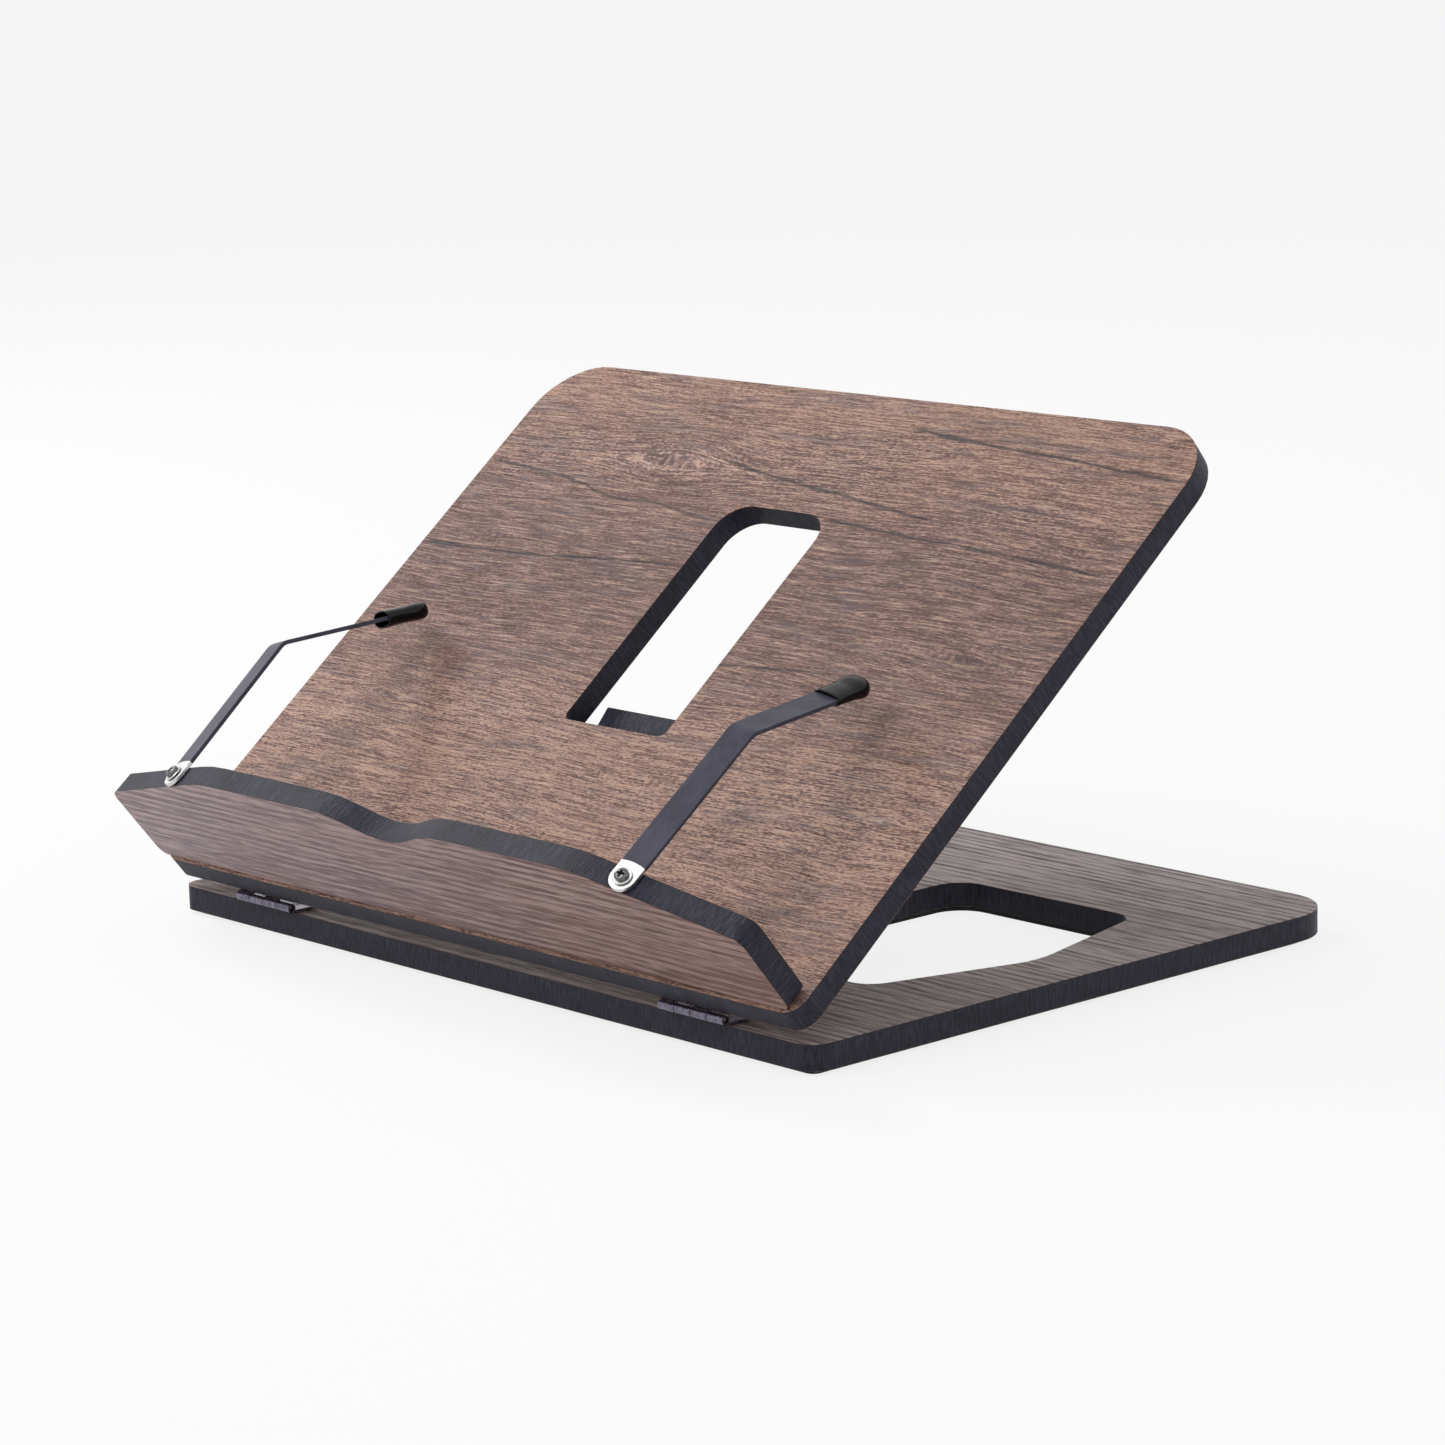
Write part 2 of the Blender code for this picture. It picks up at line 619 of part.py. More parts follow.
def cap_body(name, look, parent):
    """The cap without its pocket: rings with flattened sides, from the mouth to the round end."""
    tip = CAP_WIDTH / 2
    straight = CAP_LENGTH - tip
    steps = 8
    stations = [straight * step / steps for step in range(steps)]
    stations += [straight + tip * math.sin(math.radians(turn)) for turn in range(0, 87, 12)]
    work = bmesh.new()
    rings = []
    for along in stations:
        half_width, half_thickness = cap_section(along)
        ring = []
        for index in range(CAP_RING_POINTS):
            turn = 2 * math.pi * index / CAP_RING_POINTS
            x, z = math.cos(turn), math.sin(turn)
            reach = (abs(x) ** CAP_SQUARENESS + abs(z) ** CAP_SQUARENESS) ** (-1 / CAP_SQUARENESS)
            ring.append(work.verts.new((half_width * reach * x, along, half_thickness * reach * z)))
        rings.append(ring)
    for first, second in zip(rings, rings[1:]):
        for index in range(CAP_RING_POINTS):
            after = (index + 1) % CAP_RING_POINTS
            work.faces.new((first[index], second[index], second[after], first[after]))
    work.faces.new(rings[0])
    work.faces.new(rings[-1])
    bmesh.ops.recalc_face_normals(work, faces=work.faces)
    mesh = bpy.data.meshes.new(name)
    work.to_mesh(mesh)
    work.free()
    return mesh_object(name, mesh, look, parent)


def page_holder(side, sign, lean, cap_end_gap):
    slope = math.degrees(math.atan2(LEDGE_HEIGHT - LEDGE_END_HEIGHT, LEDGE_SLOPE_RUN))
    height = LEDGE_END_HEIGHT + HOLDER_INSET * math.tan(math.radians(slope))
    pivot = axis_empty(
        side + "_pivot_axis",
        (sign * (LEDGE_WIDTH / 2 - HOLDER_INSET) - LEDGE_SHIFT, ledge_middle, PANEL_FRONT + height),
        (0, sign * slope, 0), fold_axis)
    swing = axis_empty(side + "_holder_axis", (0, 0, 0), (0, 0, lean), pivot)

    # Strip: its side profile trimmed to a plan with a round foot
    strip = plate(side + "_holder_strip", holder_profile(), HOLDER_WIDTH, holder_black, swing)
    strip.rotation_euler = (math.radians(90), 0, math.radians(90))
    half = HOLDER_WIDTH / 2
    far = HOLDER_ARM + HOLDER_REACH
    plan = plate(
        side + "_holder_plan",
        rounded([(-half, -half, half), (half, -half, half), (half, far, 0), (-half, far, 0)]),
        HOLDER_WIDTH + 2 * far, collection=cutters)
    plan.parent = swing
    combine(strip, plan, "INTERSECT")
    hole = cylinder(
        side + "_holder_hole", PIVOT_SHANK_RADIUS + PIVOT_HOLE_CLEARANCE, -HOLDER_WIDTH, HOLDER_WIDTH,
        collection=cutters)
    hole.parent = swing
    combine(strip, hole)

    # Cap, pushed over the strip's end
    bend = math.radians(HOLDER_BEND_ANGLE)
    middle = SEAT_GAP + HOLDER_THICKNESS / 2
    depth = CAP_POCKET_DEPTH - cap_end_gap
    mouth = HOLDER_REACH - depth
    cap_axis = axis_empty(
        side + "_cap_frame",
        (0, HOLDER_ARM + mouth * math.cos(bend), middle - mouth * math.sin(bend)),
        (-HOLDER_BEND_ANGLE, 0, 0), swing)
    cap = cap_body(side + "_holder_cap", cap_rubber, cap_axis)
    smooth(cap, CAP_SMOOTH_ANGLE)
    pocket_half = HOLDER_WIDTH / 2 + SEAT_GAP
    pocket = box(
        side + "_cap_pocket",
        (-pocket_half, -CUT_OVERRUN, -CAP_POCKET_THICKNESS / 2),
        (pocket_half, CAP_POCKET_DEPTH, CAP_POCKET_THICKNESS / 2), collection=cutters)
    pocket.parent = cap_axis
    combine(cap, pocket)

    # Washer and screw, fast in the ledge
    washer_low = 2 * SEAT_GAP + HOLDER_THICKNESS
    washer_high = washer_low + PIVOT_WASHER_THICKNESS
    washer = cylinder(
        side + "_pivot_washer", PIVOT_WASHER_RADIUS, washer_low, washer_high,
        look=washer_nickel, parent=pivot)
    washer_hole = cylinder(
        side + "_washer_hole", PIVOT_SHANK_RADIUS + PIVOT_HOLE_CLEARANCE,
        washer_low - CUT_OVERRUN, washer_high + CUT_OVERRUN, collection=cutters)
    washer_hole.parent = pivot
    combine(washer, washer_hole)

    head_low = washer_high + SEAT_GAP
    screw = turned_screw(side + "_pivot_screw", head_low, pivot)
    for name, turn in (("a", 0), ("b", 90)):
        drive = box(
            "%s_drive_%s" % (side, name),
            (-DRIVE_LENGTH / 2, -DRIVE_WIDTH / 2, -DRIVE_DEPTH),
            (DRIVE_LENGTH / 2, DRIVE_WIDTH / 2, CUT_OVERRUN), collection=cutters)
        drive.parent = pivot
        drive.location = (0, 0, head_low + PIVOT_HEAD_HEIGHT)
        drive.rotation_euler = (0, 0, math.radians(turn))
        combine(screw, drive)

    bore = cylinder(
        side + "_ledge_bore", PIVOT_SHANK_RADIUS + PIVOT_HOLE_CLEARANCE,
        -PIVOT_SHANK_LENGTH - PIVOT_HOLE_CLEARANCE, CUT_OVERRUN, collection=cutters)
    bore.parent = pivot
    combine(ledge, bore)


def turned_screw(name, head_low, parent):
    """A pan-head screw turned about Z, its shank going down into the ledge."""
    work = bmesh.new()
    points = [(0, head_low + PIVOT_HEAD_HEIGHT)]
    steps = 5
    for step in range(steps + 1):
        turn = math.radians(90) * step / steps
        flat = PIVOT_HEAD_RADIUS / 2
        x = flat + (PIVOT_HEAD_RADIUS - flat) * math.sin(turn)
        z = head_low + PIVOT_HEAD_HEIGHT * (0.35 + 0.65 * math.cos(turn))
        points.append((x, z))
    points += [
        (PIVOT_HEAD_RADIUS, head_low),
        (PIVOT_SHANK_RADIUS, head_low),
        (PIVOT_SHANK_RADIUS, -PIVOT_SHANK_LENGTH + PIVOT_SHANK_RADIUS),
        (0, -PIVOT_SHANK_LENGTH),
    ]
    vertices = [work.verts.new((x, 0, z)) for x, z in points]
    for first, second in zip(vertices, vertices[1:]):
        work.edges.new((first, second))
    profile = bpy.data.meshes.new(name + "_profile")
    work.to_mesh(profile)
    work.free()
    source = bpy.data.objects.new(name + "_source", profile)
    cutters.objects.link(source)
    screw = source.modifiers.new("turn", "SCREW")
    screw.steps = 28
    screw.render_steps = 28
    screw.use_merge_vertices = True
    screw.merge_threshold = 0.00001
    mesh = evaluated_mesh(source)
    bpy.data.objects.remove(source, do_unlink=True)
    made = mesh_object(name, mesh, screw_nickel, parent)
    smooth(made)
    return made


page_holder("left", -1, LEFT_HOLDER_LEAN, LEFT_CAP_END_GAP)
page_holder("right", 1, RIGHT_HOLDER_LEAN, RIGHT_CAP_END_GAP)
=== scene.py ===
"""Looks of a folding book stand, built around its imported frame.

The boards keep their solids and get rounded edges, printed wood faces and painted edges. The
print is worked out in millimetres in each board's own axes: along the board, up it, and out of
its face. Caps, pivot screws and washers are made anew, and the hinges get their screws.
"""

import json
import math

import bmesh
import bpy
from mathutils import Matrix, Vector

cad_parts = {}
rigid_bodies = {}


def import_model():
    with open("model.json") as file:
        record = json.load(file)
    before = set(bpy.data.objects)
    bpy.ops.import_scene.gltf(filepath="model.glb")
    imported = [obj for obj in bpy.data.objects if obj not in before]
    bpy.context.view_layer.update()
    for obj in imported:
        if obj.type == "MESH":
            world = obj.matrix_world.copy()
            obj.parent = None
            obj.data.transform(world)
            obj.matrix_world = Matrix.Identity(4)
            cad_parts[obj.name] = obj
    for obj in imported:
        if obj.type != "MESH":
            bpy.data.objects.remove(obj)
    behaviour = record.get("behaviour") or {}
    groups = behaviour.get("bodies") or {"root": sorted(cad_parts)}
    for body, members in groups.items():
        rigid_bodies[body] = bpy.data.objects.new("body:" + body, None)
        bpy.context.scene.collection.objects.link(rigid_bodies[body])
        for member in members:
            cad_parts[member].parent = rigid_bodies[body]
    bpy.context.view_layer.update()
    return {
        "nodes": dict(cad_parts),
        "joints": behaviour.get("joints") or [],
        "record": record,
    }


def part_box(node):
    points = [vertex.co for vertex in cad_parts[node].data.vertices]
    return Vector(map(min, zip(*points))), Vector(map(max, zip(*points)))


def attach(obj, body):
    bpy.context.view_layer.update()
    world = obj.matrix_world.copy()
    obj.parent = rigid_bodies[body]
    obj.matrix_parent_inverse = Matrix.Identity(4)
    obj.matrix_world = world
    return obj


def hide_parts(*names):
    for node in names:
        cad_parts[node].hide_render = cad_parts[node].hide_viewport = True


for leftover in list(bpy.data.objects):
    bpy.data.objects.remove(leftover, do_unlink=True)

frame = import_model()
nodes = frame["nodes"]
joints = {joint["name"]: joint for joint in frame["joints"]}
mounts = {mount["name"]: mount for mount in frame["record"]["mounts"]}

MM = 0.001
SIDES = ("left", "right")

# Camera, solved from the photograph's lines
CAMERA_PLACE = (1.048851, -0.957717, 0.344435)
CAMERA_YAW = 47.9065
CAMERA_PITCH = 11.1143
CAMERA_ROLL = -1.3964
CAMERA_LENS = 113.698
SENSOR_WIDTH = 36.0

# Light
SKY_STRENGTH = 0.46
BACKDROP_STRENGTH = 1.0
KEY_POWER = 12.0
KEY_SIZE = 1.15
KEY_PLACE = (-0.36, -1.35, 1.7)
SOFTBOX_POWER = 13.0
SOFTBOX_SIZE = 0.6
SOFTBOX_PLACE = (-1.55, -0.15, 1.35)
FILL_POWER = 0.8
FILL_SIZE = 1.4
FILL_PLACE = (1.7, 0.3, 0.9)
FLOOR_SIZE = 40.0
FLOOR_DROP = 0.00005
FLOOR_COLOUR = (250, 250, 250)
FLOOR_ROUGHNESS = 0.9
FLOOR_GLOW_SHARE = 0.82

# Rounded edges
BOARD_EDGE = 0.00035
LEDGE_EDGE = 0.0004
SMALL_EDGE = 0.00012
STRIP_EDGE = 0.0002
SCREW_EDGE = 0.00004
BOARD_SEGMENTS = 3
SMALL_SEGMENTS = 2
SHARP_ANGLE = 35.0
BASE_BEVEL_ANGLE = 50.0
FLAT_ANGLE = 1.0
WELD_REACH = 0.000005
NORMALS_WEIGHT = 80

# Half the boards' length, in mm
HALF_BOARD = 150

# Page holders, in mm
HOLDER_BEND = 34.5
FOOT_END = 5.6
FOOT_END_RADIUS = 15.0
CAP_LENGTH = 17.5
CAP_TIP = 5.0
CAP_HALF_WIDTHS = (4.95, 4.8, 5.0)
CAP_HALF_HEIGHTS = {"left": (2.95, 2.8, 2.95), "right": (1.95, 2.3, 3.0)}
CAP_WAIST_SHARE = 0.42
CAP_SWELL_SHARE = 0.74
CAP_WALL = 0.75
CAP_POCKET_DEPTH = 13.4
CAP_POCKET_HALF_HEIGHT = 1.15
CAP_POCKET_HALF_WIDTH = 4.5
CAP_POCKET_TAPER = 5.5
CAP_SIDES = 48
CAP_ROUND = 2.5
CAP_POCKET_ROUND = 6.0
CAP_TIP_STEPS = 10
CAP_BODY_STEPS = 22
CAP_LIP_STEPS = 6
CAP_POCKET_STEPS = 8
CAP_POCKET_SPACING = 1.4

# Pivot screws, washers and hinge screws, in mm
PIVOT_HEAD = ((2.12, 0.0), (2.2, 0.1), (2.2, 0.5), (2.12, 0.78), (1.92, 1.02), (1.6, 1.18),
              (1.1, 1.28), (0.5, 1.32), (0.0, 1.33))
PIVOT_SHANK = ((0.0, -10.4), (0.6, -9.7), (1.45, -8.4), (1.45, 0.0))
PIVOT_CROSS = (1.5, 0.42, 1.2)
PIVOT_TURNS = {"left": 24.0, "right": 8.0}
PIVOT_HEAD_GAP = 0.02
WASHER_BODY = "panel"
WASHER_PROFILE = ((1.9, 0.0), (2.8, 0.0), (2.95, 0.12), (2.95, 0.38), (2.8, 0.5), (1.9, 0.5))
HINGE_HEAD = ((1.62, -0.12), (1.66, -0.06), (1.58, 0.0), (0.0, 0.02))
HINGE_SHANK = ((0.0, -6.5), (0.5, -5.6), (0.85, -4.6), (0.85, -0.85))
HINGE_CROSS = (0.95, 0.22, 0.5)
HINGE_TURN_STEP = 37
LATHE_SIDES = 40
HINGE_INSET = 48.0
HINGE_HOLE_SPREAD = 8.12
FOLD_HOLE_REACH = 6.5
PROP_PANEL_HOLE_REACH = 8.3
PROP_LEG_HOLE_REACH = 6.2
LEAF_FACE = 0.65
PROP_LEAF_FACE = 0.6


# Frames of the boards and holders
def axes_matrix(origin, across, along, out):
    turn = Matrix((Vector(across), Vector(along), Vector(out))).transposed()
    return Matrix.Translation(Vector(origin)) @ turn.to_4x4()


def board_matrix(origin, out):
    """The matrix from a board's axes to the world: X along it, Z out of its face."""
    out = Vector(out).normalized()
    across = Vector((1, 0, 0))
    return axes_matrix(origin, across, out.cross(across), out)


fold_place = Vector(joints["panel_fold"]["pos_m"])
prop_place = Vector(joints["leg_fold"]["pos_m"])
panel_frame = board_matrix(fold_place, mounts["book_face"]["axis"])
base_frame = board_matrix((0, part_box("base_board")[0].y, 0), (0, 0, 1))
fold_angle = math.radians(max(joints["leg_fold"]["range_deg"], key=abs))
fold_leg = (
    Matrix.Translation(prop_place)
    @ Matrix.Rotation(fold_angle, 4, Vector(joints["leg_fold"]["axis"]))
    @ Matrix.Translation(-prop_place))
folded_leg_frame = fold_leg.inverted() @ panel_frame


def points_of(node):
    """The different points of a node's mesh, always in the same order."""
    mesh = nodes[node].data
    found = {tuple(round(value, 7) for value in vertex.co) for vertex in mesh.vertices}
    return [Vector(point) for point in sorted(found)]


def box_in(node, matrix):
    """Lowest and highest corner of a node in other axes."""
    inverse = matrix.inverted()
    points = [inverse @ point for point in points_of(node)]
    low = Vector(min(point[axis] for point in points) for axis in range(3))
    high = Vector(max(point[axis] for point in points) for axis in range(3))
    return low, high


def holder_matrix(side):
    """Axes of a page holder at its pivot: across its arm, along it, and out of its face."""
    joint = joints[side + "_holder_swivel"]
    pivot = Vector(joint["pos_m"])
    out = Vector(joint["axis"]).normalized()
    along = Vector((0, 0, 0))
    for point in points_of(side + "_holder_strip"):
        reach = point - pivot
        along += reach - out * reach.dot(out)
    along.normalize()
    return axes_matrix(pivot, along.cross(out), along, out)


def cap_matrix(side):
    """Axes of a holder's cap at the middle of its mouth."""
    bent = holder_matrix(side) @ Matrix.Rotation(math.radians(-HOLDER_BEND), 4, "X")
    low, high = box_in(side + "_holder_cap", bent)
    middle = (low + high) / 2
    return bent @ Matrix.Translation((middle.x, low.y, middle.z))


def linear(colour):
    """A colour given from 0 to 255 as it shows on a screen, as the shader wants it."""
    shares = [channel / 255 for channel in colour]
    return tuple(
        share / 12.92 if share <= 0.04045 else ((share + 0.055) / 1.055) ** 2.4
        for share in shares)


# Node trees
class Tree:
    """Short calls that build a material's nodes."""

    def __init__(self, name):
        self.material = bpy.data.materials.new(name)
        self.material.use_nodes = True
        self.tree = self.material.node_tree
        self.shader = self.tree.nodes["Principled BSDF"]
        self.output = self.tree.nodes["Material Output"]

    def add(self, kind, inputs=(), **settings):
        node = self.tree.nodes.new(kind)
        for key, value in settings.items():
            setattr(node, key, value)
        for key, value in dict(inputs).items():
            self.feed(node.inputs[key], value)
        return node

    def feed(self, socket, value):
        if isinstance(value, bpy.types.NodeSocket):
            self.tree.links.new(value, socket)
        elif value is not None:
            socket.default_value = value

    def set(self, **values):
        """Sets or links the shader's sockets, with _ for a space in their names."""
        for key, value in values.items():
            self.feed(self.shader.inputs[key.replace("_", " ")], value)

    def math(self, operation, first, second=None, third=None, clamp=False):
        inputs = {0: first, 1: second, 2: third}
        return self.add("ShaderNodeMath", inputs, operation=operation, use_clamp=clamp).outputs[0]

    def ease(self, value, low, high, start=0.0, end=1.0):
        """Goes smoothly from start at low to end at high."""
        inputs = {"Value": value, "From Min": low, "From Max": high, "To Min": start, "To Max": end}
        return self.add(
            "ShaderNodeMapRange", inputs, interpolation_type="SMOOTHSTEP").outputs["Result"]

    def noise(self, vector, size, detail=2.0, roughness=0.5, shift=(0, 0, 0)):
        """Noise from 0 to 1 whose features have that size along each axis."""
        inputs = {0: vector, 1: [1 / length for length in size], 2: shift}
        place = self.add("ShaderNodeVectorMath", inputs, operation="MULTIPLY_ADD").outputs[0]
        inputs = {"Vector": place, "Scale": 1.0, "Detail": detail, "Roughness": roughness}
        return self.add("ShaderNodeTexNoise", inputs).outputs[0]

    def curve(self, value, points):
        """A smooth curve through points, and how far along it the value is."""
        start, end = points[0][0], points[-1][0]
        low = min(point[1] for point in points)
        rise = max(point[1] for point in points) - low
        share = self.math("DIVIDE", self.math("SUBTRACT", value, start), end - start)
        node = self.add("ShaderNodeFloatCurve", {"Value": share})
        knots = node.mapping.curves[0].points
        for place, height in points[1:-1]:
            knots.new((place - start) / (end - start), (height - low) / rise)
        knots[0].location = (0, (points[0][1] - low) / rise)
        knots[len(knots) - 1].location = (1, (points[-1][1] - low) / rise)
        node.mapping.update()
        return self.math("MULTIPLY_ADD", node.outputs[0], rise, low), share

    def mix(self, share, first, second, blend="MIX"):
        """A mix of two colours, each a socket or a colour from 0 to 255."""
        node = self.add("ShaderNodeMix", data_type="RGBA", blend_type=blend)
        self.feed(node.inputs["Factor"], share)
        for socket, colour in ((node.inputs[6], first), (node.inputs[7], second)):
            if isinstance(colour, tuple):
                colour = (*linear(colour), 1.0)
            self.feed(socket, colour)
        return node.outputs[2]

    def ramp(self, share, stops):
        """Colours from 0 to 255 at places from 0 to 1."""
        node = self.add("ShaderNodeValToRGB", {"Fac": share})
        ramp = node.color_ramp
        for place, colour in stops[1:-1]:
            ramp.elements.new(place)
        for element, (place, colour) in zip(ramp.elements, stops):
            element.position = place
            element.color = (*linear(colour), 1.0)
        return node.outputs["Color"]

    def bump(self, height, depth):
        inputs = {"Height": height, "Distance": depth * MM}
        return self.add("ShaderNodeBump", inputs).outputs["Normal"]

    def point(self, matrix):
        """The point in a board's own axes, in millimetres, and its three coordinates."""
        inverse = matrix.inverted()
        mapping = self.add("ShaderNodeMapping", {
            "Vector": self.add("ShaderNodeTexCoord").outputs["Object"],
            "Location": inverse.translation / MM,
            "Rotation": inverse.to_euler("XYZ"),
            "Scale": (1 / MM,) * 3,
        }, vector_type="POINT").outputs[0]
        split = self.add("ShaderNodeSeparateXYZ", {0: mapping})
        return mapping, [split.outputs[axis] for axis in range(3)]

    def vector(self, x, y, z):
        return self.add("ShaderNodeCombineXYZ", {0: x, 1: y, 2: z}).outputs[0]


# Wood print
# A crack is its thickness, its darkness share, and its route as along and up, in mm
PANEL_CRACKS = (
    (0.95, 0.65, ((-152, 184.6), (-130, 183.2), (-100, 180), (-80, 175.6), (-60, 175.3),
                  (-40, 172.8), (-20, 171.2))),
    (0.70, 0.80, ((18, 178.4), (60, 175.6), (100, 174), (125, 172.2), (152, 170))),
    (0.75, 0.75, ((-42, 197.4), (-20, 193.5), (0, 190.5), (20, 188.8), (40, 186), (72, 182.2))),
    (1.2, 0.75, ((26, 219.6), (60, 216.2), (80, 215), (100, 214), (120, 212.2), (152, 210))),
    (0.85, 0.85, ((-152, 145.4), (-110, 146.2), (-90, 147), (-60, 149.5), (-20, 151.4))),
    (0.60, 0.75, ((18, 114.8), (46, 117.4), (72, 119))),
    (0.45, 0.45, ((22, 154.2), (40, 155.6), (58, 156.4))),
    (0.50, 0.55, ((-78, 109.5), (-46, 112.6), (-20, 114.6))),
    (0.80, 0.40, ((-90, 218.6), (-70, 219.6), (-48, 219.8))),
    (0.70, 0.35, ((-42, 208), (-20, 209.6), (2, 210.4))),
)
# A knot is its middle and its reach along and up, in mm, and its darkness share
PANEL_KNOTS = (
    (-62, 194, 26, 11, 0.1),
    (132, 69, 5, 2.2, 0.8),
    (69, 143, 8, 2.6, 0.45),
    (115, 133, 16, 3.0, 0.35),
    (-112, 80, 9, 3.0, 0.25),
)


CRACK_RAGGED_SIZE = (9, 1, 1)
CRACK_RAGGEDNESS = 1.5
CRACK_SWELL_SIZE = (12, 1, 1)
CRACK_SWELL = (0.3, 0.7, 0.6, 1.5)
CRACK_FADE = (0.06, 0.9)
KNOT_PUSH = 0.9
KNOT_CORE = 12.0


def crack_mask(tree, x, y, thickness, darkness, route):
    """Darkness of one crack: a line along a curve that thins and fades at its ends."""
    line, share = tree.curve(x, route)
    seed = route[0][1]
    ragged = tree.noise(tree.vector(x, thickness, seed), CRACK_RAGGED_SIZE, 3.0, 0.55)
    line = tree.math("MULTIPLY_ADD", tree.math("SUBTRACT", ragged, 0.5), CRACK_RAGGEDNESS, line)
    away = tree.math("ABSOLUTE", tree.math("SUBTRACT", y, line))
    swell = tree.noise(tree.vector(x, seed, thickness), CRACK_SWELL_SIZE, 2.0)
    reach = tree.math("MULTIPLY", tree.ease(swell, *CRACK_SWELL), thickness)
    body = tree.ease(tree.math("DIVIDE", away, reach), 0.15, 1.0, 1.0, 0.0)
    start, end = CRACK_FADE
    ends = tree.math(
        "MULTIPLY", tree.ease(share, 0.0, start), tree.ease(share, end, 1.0, 1.0, 0.0))
    return tree.math("MULTIPLY", tree.math("MULTIPLY", body, ends), darkness)


def knot_field(tree, x, y, knots):
    """Pushes the grain round each knot, and darkens the knot's middle."""
    pushed, dark = y, 0.0
    for middle_x, middle_y, reach_x, reach_y, darkness in knots:
        side_x = tree.math("DIVIDE", tree.math("SUBTRACT", x, middle_x), reach_x)
        side_y = tree.math("DIVIDE", tree.math("SUBTRACT", y, middle_y), reach_y)
        square = tree.math("MULTIPLY_ADD", side_x, side_x, tree.math("MULTIPLY", side_y, side_y))
        near = tree.math("EXPONENT", tree.math("MULTIPLY", square, -1.0))
        push = tree.math("MULTIPLY", tree.math("MULTIPLY", near, side_y), reach_y * KNOT_PUSH)
        pushed = tree.math("SUBTRACT", pushed, push)
        core = tree.math("EXPONENT", tree.math("MULTIPLY", square, -KNOT_CORE))
        dark = tree.math("MAXIMUM", tree.math("MULTIPLY", core, darkness), dark)
    return pushed, dark


# Sizes of the print's noises in mm: along the board, up it, and through its depth
FLOW_SIZE = (110, 55, 1)
WANDER_SIZE = (70, 11, 1)
BREAK_SIZE = (45, 6, 1)
WARM_SIZE = (60, 20, 1)
COOL_SIZE = (34, 4.5, 1)
STROKE_SIZE = (13, 0.5, 1)
CROSS_SIZE = (0.9, 16, 1)
# Noise values at which each effect starts and is full
BREAK_RANGE = (0.35, 0.6)
WARM_RANGE = (0.35, 0.65)
COOL_RANGE = (0.5, 0.68)
DARK_RANGE = (0.54, 0.66)
BRIGHT_RANGE = (0.46, 0.34)
CROSS_RANGE = (0.62, 0.74)
# Relief of the print, and the noise values and roughness values that its gloss goes between
LINE_HEIGHT = 0.25
STROKE_HEIGHT = -1.6
MARK_HEIGHT = -0.6
STROKE_ROUGHNESS = (0.35, 0.65, 0.42, 0.56)


def add_layers(tree, point, layers, tone):
    """Adds noise layers to a tone, each given by length, width, detail and gain."""
    for length, width, detail, gain in layers:
        layer = tree.noise(point, (length, width, 1), detail, 0.55, (width, length, gain))
        tone = tree.math("MULTIPLY_ADD", tree.math("SUBTRACT", layer, 0.5), gain, tone)
    return tone


